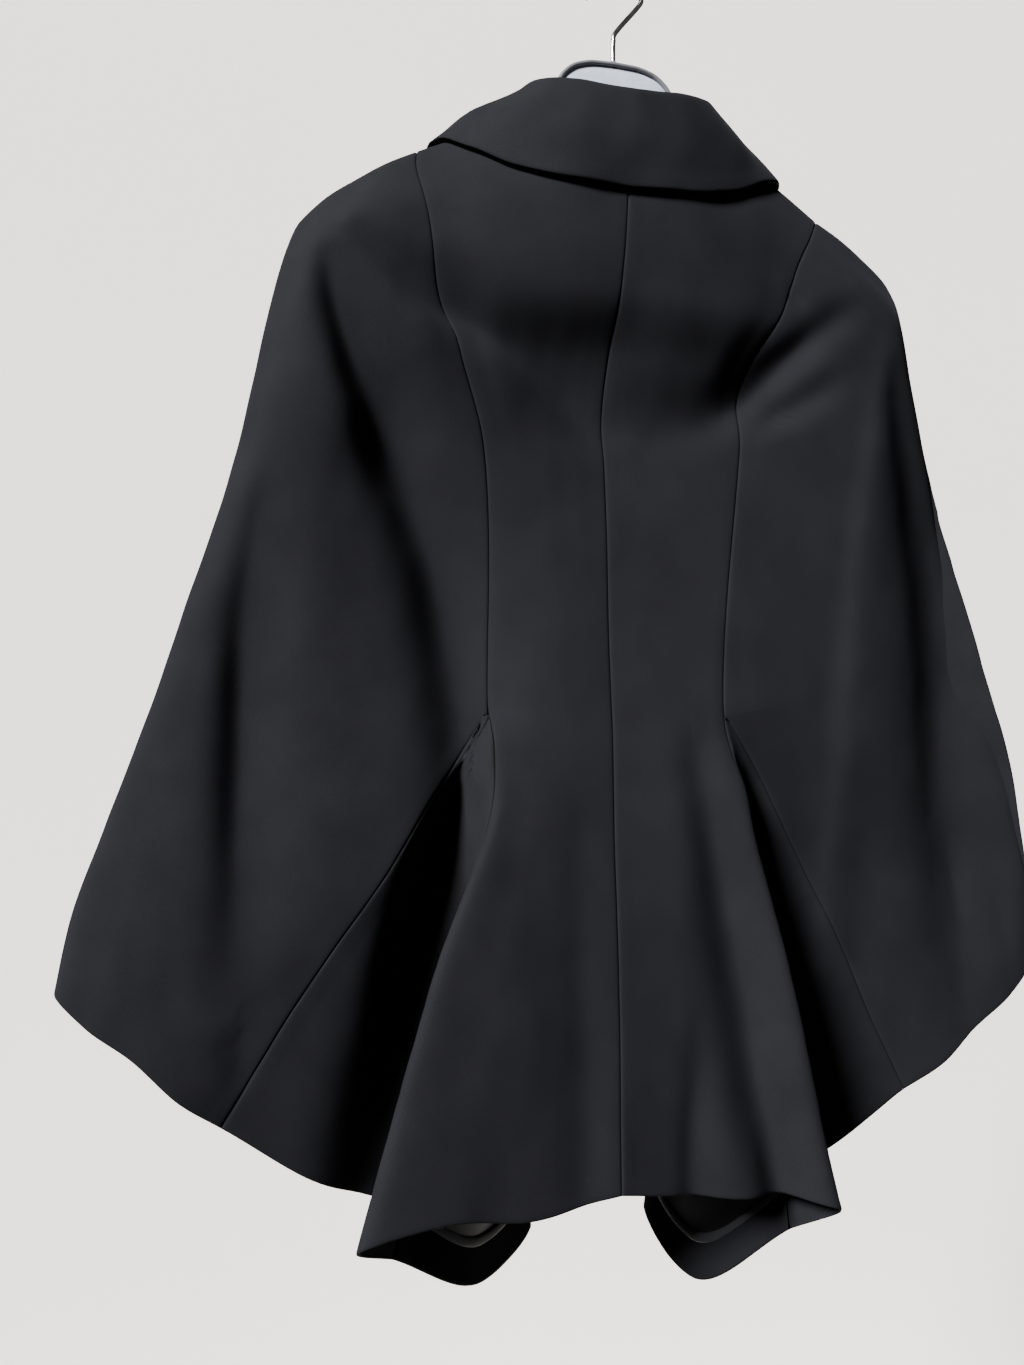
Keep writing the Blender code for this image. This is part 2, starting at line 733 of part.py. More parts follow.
def add_hanger(panels, normals, plastic, wire):
    bm = bmesh.new()
    rings = [[bm.verts.new(p) for p in ring] for ring in hanger_sections(panels, normals)]
    for a, b in zip(rings, rings[1:]):
        for k in range(HANGER_SIDES):
            n = (k + 1) % HANGER_SIDES
            bm.faces.new((a[k], a[n], b[n], b[k]))
    bm.faces.new(rings[0])
    bm.faces.new(rings[-1])
    bmesh.ops.recalc_face_normals(bm, faces=bm.faces)
    add_object("hanger_body", bm, plastic)
    route = [(x, HANGER_PLATE[0][1] + up) for x, up in HOOK_STEM]
    centre = HOOK_WIRE / 2 - HOOK_RADIUS
    start, end = (math.radians(a) for a in HOOK_ARC)
    for k in range(HOOK_STEPS + 1):
        turn = start + (end - start) * k / HOOK_STEPS
        route.append((HOOK_RADIUS * math.cos(turn), centre + HOOK_RADIUS * math.sin(turn)))
    curve = bpy.data.curves.new("hanger_hook", "CURVE")
    curve.dimensions = "3D"
    curve.bevel_depth = HOOK_WIRE / 2 * MM
    curve.bevel_resolution = HOOK_SIDES
    curve.use_fill_caps = True
    spline = curve.splines.new("POLY")
    spline.points.add(len(route) - 1)
    for point, (x, z) in zip(spline.points, route):
        point.co = (x * MM, 0.0, z * MM, 1.0)
    curve.materials.append(wire)
    hook = bpy.data.objects.new("hanger_hook", curve)
    bpy.context.scene.collection.objects.link(hook)


def main():
    clear_scene()
    wool = finish("black wool twill", (0.012, 0.012, 0.014), 0.82)
    lining = finish("black lining", (0.008, 0.008, 0.010), 0.45)
    plastic = finish("grey plastic", (0.22, 0.26, 0.30), 0.25)
    wire = finish("hook wire", (0.55, 0.55, 0.56), 0.3, 1.0)
    panels = coat_panels()
    normals = shared_normals(panels)
    for name, (grid, side) in panels.items():
        add_panel(name, grid, normals[name], wool)
    for word in ("left", "right"):
        name = f"gusset_{word}"
        add_inside_pieces(word, panels[name][0], normals[name], wool, lining)
    add_collar(panels, normals, wool)
    add_hanger(panels, normals, plastic, wire)


main()
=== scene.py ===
"""Looks of the cape coat on its hanger."""

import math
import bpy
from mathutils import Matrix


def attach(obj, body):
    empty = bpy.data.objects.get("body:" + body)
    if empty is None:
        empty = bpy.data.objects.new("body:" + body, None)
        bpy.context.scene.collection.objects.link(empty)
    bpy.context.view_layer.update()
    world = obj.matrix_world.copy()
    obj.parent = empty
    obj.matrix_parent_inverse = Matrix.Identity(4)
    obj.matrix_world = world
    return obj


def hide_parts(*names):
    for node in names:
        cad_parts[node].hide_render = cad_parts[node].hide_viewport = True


bl_info = {
    "name": "Cape coat",
    "version": (1, 0, 0),
    "blender": (4, 5, 0),
    "location": "3D View > Sidebar > Coat",
    "description": "Makes a worn wool cape coat that hangs on a plastic hanger",
    "category": "Object",
}

import bmesh
import bpy
import numpy as np
from mathutils import Vector, noise
from mathutils.bvhtree import BVHTree
from mathutils.kdtree import KDTree

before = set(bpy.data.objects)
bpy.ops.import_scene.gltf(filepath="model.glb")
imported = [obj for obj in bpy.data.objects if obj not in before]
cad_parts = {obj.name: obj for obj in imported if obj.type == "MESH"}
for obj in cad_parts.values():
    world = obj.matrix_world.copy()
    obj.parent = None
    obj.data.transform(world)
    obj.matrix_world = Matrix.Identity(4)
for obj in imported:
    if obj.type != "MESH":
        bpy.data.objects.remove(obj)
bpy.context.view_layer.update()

MM = 0.001
SIDES = (("left", -1), ("right", 1))

# How the hung coat differs from an even one: height, middle line x, turn towards the right
# (depth change from TURN_REACH out), tilt down on the right.
DRAPE = (
    (-120.0, -3.0, 0.0, 7.0), (-200.0, -8.0, 0.0, 7.0), (-300.0, -13.0, 0.0, 6.0),
    (-410.0, -11.0, 0.0, 5.0), (-510.0, -11.0, 0.0, 3.0), (-600.0, -14.0, 5.0, 4.0),
    (-680.0, -15.0, 9.0, 8.0), (-800.0, -18.0, 12.0, 7.0), (-880.0, -18.0, 12.0, 11.0),
)
TURN_REACH = 150.0
# The tilt sets in this far from the middle, above the first of the heights and below the second.
TILT_FROM = (100.0, 45.0)
TILT_HEIGHTS = (500.0, 650.0)
TILT_WIDTH = 40.0

# Guide lines of the panels. Each row gives the level (0 at the ridge, 1 at the waist, 2 at the
# hem), then across, depth, height and skew in mm. Across plus the skew holds for the right half,
# across minus the skew for the left.
CENTRE_BACK = (
    (0.00, 0, -45, -145, 0), (0.06, 0, -46, -153, 0), (0.14, 0, -47, -168, 0),
    (0.30, 0, -48, -207, 0), (0.42, 0, -44, -243, 0), (0.54, 0, -26, -280, 0),
    (0.70, 0, -13, -340, 0), (0.85, 0, -15, -422, 0), (1.00, 0, -22, -508, 0),
    (1.20, 0, -31, -570, 0), (1.50, 0, -42, -660, 0), (2.00, 0, -55, -790, 0),
)
BACK_INNER = (
    (0.00, 45, -37, -138, 0), (0.06, 43, -42, -147, 0), (0.14, 42, -46, -163, 0),
    (0.30, 42, -48, -205, 0), (0.42, 40, -46, -245, 0), (0.54, 36, -30, -282, 0),
    (0.70, 32, -15, -340, 0), (0.85, 29, -16, -422, 0), (1.00, 28, -24, -508, 0),
    (1.20, 32, -33, -569, 0), (1.50, 41, -42, -659, 0), (2.00, 55, -50, -798, 0),
)
BACK_MIDDLE = (
    (0.00, 75, 0, -124, 0), (0.06, 76, -9, -127, 2), (0.14, 78, -26, -145, 2),
    (0.30, 82, -42, -202, 1), (0.42, 79, -43, -246, 0), (0.54, 68, -31, -283, 0),
    (0.70, 60, -17, -340, 2), (0.85, 55, -17, -421, 1), (1.00, 53, -25, -508, 0),
    (1.20, 60, -37, -568, 2), (1.50, 76, -50, -661, 0), (2.00, 104, -64, -797, -3),
)
BACK_FOLD = (
    (0.00, 110, 0, -140, 4), (0.06, 110, -9, -143, 4), (0.14, 109, -20, -157, 3),
    (0.30, 107, -36, -203, 1), (0.42, 101, -38, -245, 0), (0.54, 86, -28, -282, 0),
    (0.70, 76, -18, -340, 5), (0.85, 70, -18, -421, 2), (1.00, 68, -25, -508, -1),
    (1.20, 79, -38, -567, 5), (1.50, 111, -52, -660, 0), (2.00, 149, -63, -806, -6),
)
PRINCESS_SEAM = (
    (0.00, 140, 0, -157, 12), (0.06, 139, -9, -160, 10), (0.14, 136, -18, -173, 6),
    (0.30, 124, -33, -206, 1), (0.42, 114, -35, -244, 0), (0.54, 97, -27, -281, -1),
    (0.70, 86, -18, -340, 6), (0.85, 79, -18, -421, 3), (1.00, 76, -24, -508, -1),
    (1.20, 84, -35, -566, 5), (1.50, 105, -34, -662, 1), (2.00, 129, -26, -828, -2),
)
GUSSET_LOW = (
    (1.00, 76, -24, -508, -1), (1.10, 83, -27, -537, -2), (1.20, 86, -25, -567, 4),
    (1.50, 90, -10, -668, 1), (2.00, 77, 20, -871, 5),
)
GUSSET_PLEAT = (
    (1.00, 76, -24, -508, -1), (1.10, 86, -24, -536, -1), (1.20, 88, -13, -566, 3),
    (1.50, 75, 17, -665, 4), (2.00, 42, 58, -842, 16),
)
GUSSET_TURN = (
    (1.00, 76, -24, -508, -1), (1.10, 89, -22, -536, 0), (1.20, 97, -6, -565, 2),
    (1.50, 100, 22, -652, 2), (2.00, 98, 48, -831, 6),
)
GUSSET_SIDE = (
    (1.00, 76, -24, -508, -1), (1.10, 92, -21, -535, 0), (1.20, 105, -12, -562, 1),
    (1.50, 132, 0, -642, 1), (2.00, 165, 12, -799, 3),
)
DIAGONAL_SEAM = (
    (1.00, 76, -24, -508, -1), (1.20, 112, -16, -561, 2), (1.40, 142, -10, -611, 4),
    (1.60, 172, -6, -658, 3), (1.80, 201, -3, -708, 0), (2.00, 228, 0, -755, 0),
)
WING_INNER = (
    (0.00, 155.5, 0, -167.5, 11.8), (0.06, 157, -9, -170, 10), (0.14, 157, -19, -183, 5),
    (0.30, 151, -34, -214, 1), (0.42, 146, -37, -249, 0), (0.54, 140, -34, -289, 0),
    (0.70, 137, -25, -345, 2), (0.85, 141, -20, -412, 1), (1.00, 146, -18, -492, 0),
    (1.50, 200, -13, -612, 2), (2.00, 253, -8, -737, 0),
)
WING_MIDDLE = (
    (0.00, 171, 0, -178, 11.5), (0.06, 174, -9, -182, 10), (0.14, 177, -18, -196, 8),
    (0.30, 179, -32, -226, 5), (0.54, 182, -34, -304, 4), (0.85, 195, -24, -412, 3),
    (1.00, 204, -20, -478, 3), (1.50, 242, -15, -592, 2), (2.00, 278, -10, -713, 0),
)
WING_OUTER = (
    (0.00, 188.4, 0, -191, 11), (0.06, 193, -7, -196, 10), (0.14, 197, -14, -210, 9),
    (0.30, 202, -24, -242, 7), (0.54, 216, -26, -318, 7), (0.85, 237, -19, -416, 7),
    (1.00, 249, -16, -470, 6), (1.50, 280, -12, -578, 5), (2.00, 304, -9, -694, 0),
)
WING_FOLD = (
    (0.00, 202, 0, -204, 11), (0.06, 208, 0, -211, 10), (0.14, 213, 0, -228, 9),
    (0.30, 219, -1, -264, 8), (0.54, 233, -2, -334, 9), (0.85, 259, -3, -424, 9),
    (1.00, 273, -3, -468, 9), (1.50, 305, -2, -575, 8), (1.80, 319, -1, -637, 4),
    (2.00, 321, 0, -676, 0),
)
FRONT_SEAM = (
    (0.00, 140, 0, -157, 12), (0.06, 139, 9, -160, 10), (0.14, 137, 17, -173, 6),
    (0.30, 128, 30, -208, 1), (0.54, 118, 42, -285, 0), (0.85, 108, 50, -415, 0),
    (1.00, 104, 56, -495, 0), (1.50, 112, 80, -650, 0), (2.00, 122, 98, -800, 0),
)
FRONT_SHOULDER = (
    (0.00, 110, 0, -140, 4), (0.06, 110, 9, -143, 4), (0.14, 108, 18, -157, 3),
    (0.30, 100, 33, -200, 0), (0.54, 94, 44, -285, 0), (0.85, 86, 53, -415, 0),
    (1.00, 83, 59, -495, 0), (1.50, 89, 83, -650, 0), (2.00, 97, 101, -800, 0),
)
FRONT_NECK = (
    (0.00, 75, 0, -124, 0), (0.06, 76, 9, -127, 2), (0.14, 76, 20, -144, 0),
    (0.30, 72, 36, -196, 0), (0.54, 68, 47, -285, 0), (0.85, 62, 57, -415, 0),
    (1.00, 60, 63, -495, 0), (1.50, 64, 87, -650, 0), (2.00, 70, 105, -800, 0),
)
FRONT_INNER = (
    (0.00, 48, 33, -152, 0), (0.06, 47, 37, -160, 0), (0.14, 45, 41, -174, 0),
    (0.30, 42, 48, -214, 0), (0.54, 38, 55, -290, 0), (0.85, 34, 63, -415, 0),
    (1.00, 33, 68, -495, 0), (1.50, 35, 91, -650, 0), (2.00, 38, 108, -800, 0),
)
CENTRE_FRONT = (
    (0.00, -15, 54, -178, 0), (0.14, -15, 57, -197, 0), (0.30, -15, 60, -230, 0),
    (0.54, -15, 63, -298, 0), (0.85, -15, 69, -417, 0), (1.00, -15, 73, -495, 0),
    (1.50, -15, 95, -650, 0), (2.00, -15, 111, -800, 0),
)
# How far the left front steps behind the right one under the lap, and where that sets in.
FRONT_LAP_STEP = 3.2
FRONT_LAP_WIDTH = (14.0, 42.0)

# The front wing hangs between the front seam and the wing's fold, bellied forwards.
FRONT_WING_SHARES = (0.25, 0.50, 0.78)
FRONT_WING_BELLY = 16.0
FRONT_SHOULDER_ROUND = 15.0
SHOULDER_LEVEL = 0.3
BELLY_LEVEL = 0.5

# Columns: place along the half collar (0 centre back, 1 front end), then the roll line and
# the fall's edge, each as across, depth and height.
COLLAR_STATIONS = (
    (0.00, 0, -52, -119, 0, -52, -181), (0.16, 24, -50, -117, 40, -51, -179),
    (0.30, 47, -42, -112, 74, -44, -170), (0.42, 61, -24, -106, 100, -28, -154),
    (0.52, 65, -2, -103, 121, -6, -141), (0.58, 64, 10, -107, 124, 8, -143),
    (0.68, 57, 28, -117, 115, 30, -170), (0.84, 34, 52, -142, 88, 52, -214),
    (1.00, 4, 66, -166, 52, 66, -250),
)
# Half width of the roll, how far its sides drop, how far above the seam the stand's line lies,
# the least gap between the fall and the body, the fall's belly, how far the collar sits off the
# seam, and where it ends beside the middle of the front.
COLLAR_ROLL = 4.0
COLLAR_ROLL_DROP = 3.6
COLLAR_STAND = 4.0
COLLAR_CLEARANCE = 4.4
COLLAR_BELLY = 2.5
COLLAR_SEAT = 0.6
COLLAR_END = 20.0

# Rows run from the top edge to the hem, closer at the ridge, the waist and the hem.
UPPER_ROWS = 62
LOWER_ROWS = 56
EDGE_LEVELS = (0.004, 0.010, 1.004, 1.010, 1.988, 1.9950, 1.9982)
# Points between one guide line and the next.
DENSE = 14
# Distances from a panel's side edge at which extra columns lie, mm.
EDGE_COLUMNS = (0.5, 1.3, 2.6, 4.5)
# How deep the cloth dips at those distances and at the edge itself, mm.
SEAM_DIP = (0.95, 0.42, 0.12, 0.02, 0.0)
HEM_DIP = (0.80, 0.30, 0.06, 0.0)
PANEL_COLUMNS = {"back": 54, "gusset": 64, "wing_back": 64, "wing_front": 64, "front": 50}

# Creases of the hung cloth. Each row of a route gives x, z, how far the cloth stands out
# (minus is a trough), and the reach to either side as one goes down the route, all in mm:
# first to the viewer's right of a downward route, then to the left.
UPPER_CREASES = {
    "back fold left": (
        (-180, -210, -1.0, 10, 9), (-166, -222, -5.0, 12, 10), (-150, -236, -9.0, 15, 11),
        (-136, -248, -11.5, 18, 12), (-120, -257, -12.5, 22, 12), (-101, -264, -13.0, 25, 12),
        (-80, -274, -13.0, 28, 13), (-58, -288, -12.5, 30, 14), (-38, -304, -10.0, 30, 15),
        (-20, -322, -5.5, 28, 17), (-8, -340, -1.0, 24, 17)),
    "back fold right": (
        (-20, -318, -1.0, 22, 14), (8, -322, -3.0, 24, 14), (36, -320, -4.0, 24, 14),
        (62, -312, -7.0, 22, 13), (82, -299, -10.0, 18, 12), (98, -284, -10.5, 13, 11),
        (115, -268, -9.0, 11, 11), (137, -250, -6.0, 11, 11), (165, -231, -1.0, 10, 10)),
    "drag wrinkle lower right": (
        (90, -318, -2.0, 9, 7), (106, -309, -6.5, 11, 8), (126, -298, -5.0, 12, 9),
        (148, -284, -1.0, 10, 9)),
    "tuck right": ((106, -228, -0.6, 3, 3), (113, -233, -2.6, 3, 4), (121, -237, -0.4, 3, 4)),
}
WING_CREASES = {
    "shoulder valley left": (
        (-192, -226, -1.0, 22, 9), (-188, -248, -8.0, 28, 10), (-180, -276, -15.0, 34, 12),
        (-172, -300, -18.0, 38, 13), (-161, -323, -19.0, 42, 14), (-151, -352, -19.5, 44, 17),
        (-136, -380, -19.5, 44, 19), (-121, -416, -20.0, 42, 21), (-114, -452, -20.5, 40, 22),
        (-107, -488, -20.5, 36, 23), (-103, -520, -18.5, 28, 23), (-102, -548, -14.0, 22, 22),
        (-106, -580, -9.0, 18, 21), (-116, -620, -3.0, 14, 18)),
    "shoulder ridge left": (
        (-148, -240, 1.0, 20, 24), (-140, -262, 3.0, 22, 26), (-128, -300, 5.0, 24, 28),
        (-119, -340, 5.0, 24, 26), (-110, -380, 3.5, 22, 22), (-104, -430, 1.5, 18, 18)),
    "outer valley left": (
        (-222, -360, -0.5, 14, 9), (-231, -410, -5.0, 22, 11), (-236, -455, -9.0, 26, 12),
        (-237, -505, -11.0, 28, 12), (-237, -560, -11.0, 28, 13), (-237, -610, -7.5, 28, 14),
        (-237, -670, -2.0, 26, 16)),
    "dent": ((-239, -700, -1.5, 9, 9), (-234, -716, -1.5, 9, 9)),
    "long crease right": (
        (190, -238, 0.4, 9, 10), (177, -290, 2.2, 12, 9), (168, -350, 3.0, 16, 9),
        (163, -410, 3.2, 18, 9), (158, -490, 3.0, 18, 10), (151, -580, 2.6, 18, 10),
        (148, -660, 2.0, 16, 10), (147, -760, 0.5, 14, 10)),
    "right valley": (
        (188, -262, -0.5, 12, 12), (194, -297, -6.0, 15, 15), (203, -329, -12.0, 19, 18),
        (213, -362, -17.0, 23, 21), (226, -402, -22.0, 27, 25), (236, -442, -25.0, 31, 29),
        (242, -483, -26.0, 38, 32), (243, -523, -25.0, 45, 33), (245, -564, -22.0, 50, 32),
        (248, -604, -18.0, 50, 29), (252, -645, -12.0, 46, 25), (255, -687, -6.0, 40, 22),
        (256, -718, -2.0, 34, 18)),
    "small valley right": (
        (248, -585, -0.3, 9, 8), (253, -625, -2.4, 10, 8), (258, -665, -0.3, 9, 8)),
}
PEPLUM_CREASES = {
    "ridge left": (
        (-50, -560, 1.0, 20, 20), (-60, -640, 4.0, 24, 24), (-68, -720, 6.5, 26, 26),
        (-74, -805, 8.0, 28, 28)),
    "valley left": (
        (-38, -560, -0.5, 9, 11), (-38, -640, -1.0, 9, 11), (-38, -740, -1.3, 10, 12),
        (-38, -805, -1.2, 10, 12)),
    "valley right": (
        (44, -530, -3.0, 10, 12), (49, -562, -8.0, 12, 15), (56, -598, -14.0, 15, 18),
        (63, -637, -19.0, 17, 22), (73, -690, -22.0, 17, 25), (80, -740, -23.0, 16, 24),
        (89, -780, -23.0, 16, 21), (94, -818, -23.0, 16, 20)),
    "wrinkle right": (
        (40, -680, -0.5, 10, 9), (37, -720, -2.0, 11, 9), (32, -770, -4.0, 13, 10),
        (31, -815, -4.5, 13, 10)),
}
GUSSET_CREASES = {
    "valley left": (
        (-106, -548, -3.0, 16, 18), (-114, -585, -8.0, 18, 22), (-124, -630, -12.0, 20, 24),
        (-134, -690, -13.0, 22, 26), (-146, -745, -13.0, 24, 28), (-156, -790, -11.0, 24, 28)),
    "roll right": (
        (95, -570, 1.0, 14, 16), (106, -625, 6.0, 18, 20), (119, -690, 11.0, 20, 24),
        (131, -770, 12.0, 22, 26)),
}
FRONT_CREASES = {
    "wing fold left": (
        (-200, -230, -0.5, 14, 14), (-205, -330, -4.0, 18, 22), (-212, -450, -6.0, 22, 26),
        (-225, -580, -5.0, 24, 28), (-240, -690, -3.0, 24, 28)),
    "wing inner fold left": (
        (-160, -235, -0.5, 12, 12), (-162, -350, -3.5, 16, 20), (-168, -480, -5.0, 20, 22),
        (-180, -620, -4.0, 22, 24), (-190, -740, -3.0, 22, 24)),
    "wing ridge left": (
        (-185, -260, 0.4, 14, 14), (-188, -400, 3.0, 18, 18), (-198, -560, 3.5, 20, 20),
        (-212, -700, 2.5, 20, 20)),
    "wing fold right": (
        (192, -240, -0.5, 14, 14), (194, -350, -4.5, 22, 18), (204, -480, -6.0, 26, 20),
        (216, -600, -4.5, 26, 22), (232, -700, -3.0, 26, 22)),
    "wing inner fold right": (
        (150, -240, -0.5, 12, 12), (146, -370, -3.5, 20, 16), (150, -500, -4.5, 22, 18),
        (162, -640, -4.0, 22, 20), (172, -760, -2.5, 22, 20)),
    "chest fold left": (
        (-100, -205, -0.4, 10, 12), (-88, -270, -2.6, 14, 16), (-70, -340, -2.4, 14, 18),
        (-58, -420, -1.0, 14, 16)),
    "chest fold right": (
        (84, -210, -0.4, 12, 10), (70, -280, -2.2, 16, 14), (52, -360, -2.6, 18, 14),
        (40, -430, -1.0, 16, 14)),
    "skirt fold left": (
        (-72, -500, -0.5, 12, 12), (-78, -600, -3.5, 16, 18), (-84, -700, -4.5, 20, 22),
        (-88, -810, -4.5, 22, 24)),
    "skirt fold right": (
        (46, -505, -0.5, 12, 12), (52, -600, -3.0, 18, 16), (60, -710, -4.5, 22, 20),
        (64, -810, -4.5, 24, 22)),
}

# Edges of two panels this close are sewn together.
MEET = 2.6 * MM
# Share of the normal that faces back or front, over which the creases of that side set in.
FACING_FADE = (0.05, 0.5)
# Depths below the hook at which the wing's creases end on the back panels.
WING_CREASES_END = (500.0, 530.0)
# Share of a gusset's row, from the princess seam, over which its creases turn into the wing's.
GUSSET_BLEND = (0.15, 0.6)
# Shares of a gusset's row over which its own creases set in and end.
GUSSET_OWN_IN = (0.1, 0.4)
GUSSET_OWN_OUT = (0.8, 1.0)
# Normals that cancel out below this length belong to cloth folded flat and aren't joined.
FOLDED_FLAT = 0.05
# Distances from a seam are told apart up to here.
SEAM_REACH = 30.0
# Slow unevenness: depth, the share of its finer part, and both sizes across and upright.
UNEVEN = 1.1
UNEVEN_FINE = 0.35
UNEVEN_SIZES = ((46.0, 90.0), (17.0, 30.0))
UNEVEN_SHIFT = 9.0
UNEVEN_FROM = (190.0, 290.0)
COLLAR_COLUMNS = 74
COLLAR_ROWS = 44
COLLAR_LOW = -330.0
COLLAR_EDGE_DIP = (1.0, 0.45, 0.12)
COLLAR_WAVE = 0.9
COLLAR_WAVE_SCALE = 38.0
FACING_FROM = 0.7
BINDING_WIDTH = 7.0
LINING_TO = 100.0
LINING_SAG = 1.4
# The facing and lining cover this share of the gusset's row, in rows this far apart.
INSIDE_SHARE = 0.5
INSIDE_ROW = 1.6
INSIDE_COLUMNS = 44
PLATE_HALF_THICKNESS = 4.675
PLATE_ROUNDNESS = 0.45
HANGER_HALF_THICKNESS = 5.5
HANGER_TIP = 196.0
HANGER_ROUNDNESS = (0.8, 1.0)
HANGER_SEAT_GAP = 0.41 * MM
HANGER_ARM_DEPTH = (26.0, 13.0)
# Columns: across, top height where no cloth lies on it, bottom height.
HANGER_PLATE = (
    (0, -70.0, -132.0), (14, -70.6, -132.6), (26, -73.5, -134.5), (35, -80.0, -137.5),
    (41, -90.0, -141.0), (46, -108.0, -145.5), (53, -123.0, -149.0), (61, -129.0, -152.5),
    (67, -131.0, -154.0),
)
PLATE_PLACES = 26
ARM_FROM = 75.0
SOCKET_HEIGHTS = (-74.0, -67.6)
SOCKET_RADII = (3.6, 3.7, 3.7, 3.7, 3.6, 3.5, 3.5, 3.4, 3.3, 3.0, 2.6, 2.2)
SHARP_ANGLE = math.radians(40.0)
RIM_PLACES = 40
RIM_SUNK = 0.5
RIM_TO = 44.0
RIM_DROP = 1.5
RIM_RADIUS = 1.5
HOOK_RADIUS = 20.0
# The stem's points: x and height above the plate's top.
HOOK_STEM = ((0.0, 0.3), (0.0, 11.0), (0.3, 17.0), (2.2, 24.0))
HOOK_ARC = (-18.0, 205.0)
# How the wire's last three rings narrow.
WIRE_END = (0.97, 0.85, 0.45)
WOOL_SHEEN = 0.015
# Blender's wave texture has this many metres to a band at scale 1.
RIB_PER_SCALE = 0.31416
# The backdrop: length of the floor up to the wall, of the bend between them, its radius, the
# floor's height, the whole length, and the middle and half width across.
STAGE_FLOOR = 1.3
STAGE_BEND = 0.8
STAGE_RADIUS = 0.51
STAGE_DROP = -2.3
STAGE_LENGTH = 4.7
STAGE_MIDDLE = 0.38
STAGE_HALF_WIDTH = 1.4
# Soft suns: where each shines from, how wide it is in degrees, and its colour.
KEY_LIGHT = ((-1.354, -1.02, 1.06), 16.0, (0.97, 0.98, 1.0))
FILL_LIGHT = ((1.6, -1.6, 0.6), 80.0, (1.0, 0.98, 0.95))
AIR_COLOR = (0.96, 0.97, 1.0, 1.0)
CAMERA_PLACE = (-0.2465, -0.7071, -0.5359)
CAMERA_YAW = math.radians(14.0)
CAMERA_PITCH = math.radians(3.8)

# Middle surface, normals and side of each panel, kept once made.
SHAPES = {}


def fade(value, low, high):
    """0 below low, 1 above high, smooth between."""
    t = np.clip((value - low) / (high - low), 0.0, 1.0)
    return t * t * (3 - 2 * t)


def smooth_line(keys, values, places):
    """Heights of a smooth line through the keys that never overshoots them."""
    keys = np.asarray(keys, float)
    values = np.asarray(values, float)
    places = np.clip(np.asarray(places, float), keys[0], keys[-1])
    steps = np.diff(keys)
    slopes = np.diff(values) / steps
    tangents = np.zeros(len(keys))
    tangents[0] = slopes[0]
    tangents[-1] = slopes[-1]
    for i in range(1, len(keys) - 1):
        before, after = slopes[i - 1], slopes[i]
        if before * after > 0:
            weight_a = 2 * steps[i] + steps[i - 1]
            weight_b = steps[i] + 2 * steps[i - 1]
            tangents[i] = (weight_a + weight_b) / (weight_a / before + weight_b / after)
    k = np.clip(np.searchsorted(keys, places, side="right") - 1, 0, len(keys) - 2)
    t = (places - keys[k]) / steps[k]
    start = values[k] * (1 + 2 * t) * (1 - t) ** 2 + steps[k] * tangents[k] * t * (1 - t) ** 2
    end = values[k + 1] * t * t * (3 - 2 * t) + steps[k] * tangents[k + 1] * t * t * (t - 1)
    return start + end


def hung(side, across, depth, height, skew):
    """Places of pattern points on the left (-1) or right (+1) half of the hung coat."""
    across, depth, height, skew = np.broadcast_arrays(
        *(np.asarray(v, float) for v in (across, depth, height, skew)))
    heights = [-row[0] for row in DRAPE]
    middle, turn, tilt = (
        smooth_line(heights, [row[k] for row in DRAPE], -height) for k in (1, 2, 3))
    out = across + side * skew
    x = middle + side * out
    y = depth + side * turn * np.clip(out / TURN_REACH, 0.0, 1.0)
    tilted_from = TILT_FROM[0] + (TILT_FROM[1] - TILT_FROM[0]) * fade(-height, *TILT_HEIGHTS)
    z = height - side * tilt * fade(across, tilted_from, tilted_from + TILT_WIDTH)
    return np.stack((x, y, z), axis=-1) * MM


def guide(table, side, levels):
    """Points on a guide line at the levels."""
    keys = [row[0] for row in table]
    return hung(side, *(smooth_line(keys, [row[k] for row in table], levels) for k in (1, 2, 3, 4)))


def through(points, before=None, after=None, steps=DENSE):
    """Smooth curves through the guide points, one for each level."""
    before = 2 * points[0] - points[1] if before is None else before
    after = 2 * points[-1] - points[-2] if after is None else after
    ends = [before] + list(points) + [after]
    result = [points[0]]
    for i in range(len(points) - 1):
        a, b, c, d = ends[i:i + 4]
        for step in range(1, steps + 1):
            t = step / steps
            result.append(0.5 * (2 * b + (c - a) * t + (2 * a - 5 * b + 4 * c - d) * t * t
                                 + (3 * b - a - 3 * c + d) * t ** 3))
    return np.stack(result, axis=-2)


def back_rows(side, levels):
    guides = (CENTRE_BACK, BACK_INNER, BACK_MIDDLE, BACK_FOLD, PRINCESS_SEAM)
    return through([guide(g, side, levels) for g in guides])


def gusset_rows(side, levels):
    guides = (PRINCESS_SEAM, GUSSET_LOW, GUSSET_PLEAT, GUSSET_TURN, GUSSET_SIDE, DIAGONAL_SEAM)
    return through([guide(g, side, levels) for g in guides])


def front_wing_guides(side, levels):
    """The front wing's inside guide lines, from the wing's fold towards the front seam."""
    seam = guide(FRONT_SEAM, side, levels)
    fold = guide(WING_FOLD, side, levels)
    ridge_share = (1 - fade(levels, 0.0, SHOULDER_LEVEL))[:, None]
    top_share = np.minimum(levels / SHOULDER_LEVEL, 1.0)
    ridge_seam = guide(FRONT_SEAM, side, 0.0)
    ridge_fold = guide(WING_FOLD, side, 0.0)
    belly = FRONT_WING_BELLY * fade(levels, 0.0, BELLY_LEVEL)
    points = []
    for share, top in zip(FRONT_WING_SHARES, (WING_INNER, WING_MIDDLE, WING_OUTER)):
        straight = ridge_seam * (1 - share) + ridge_fold * share
        ridge = guide(top, side, 0.0) - straight
        point = seam * (1 - share) + fold * share + ridge * ridge_share
        point[:, 1] += belly * math.sin(math.pi * share) * MM
        point[:, 1] += FRONT_SHOULDER_ROUND * share * np.sin(math.pi * top_share) * MM
        points.append(point)
    return points[::-1]


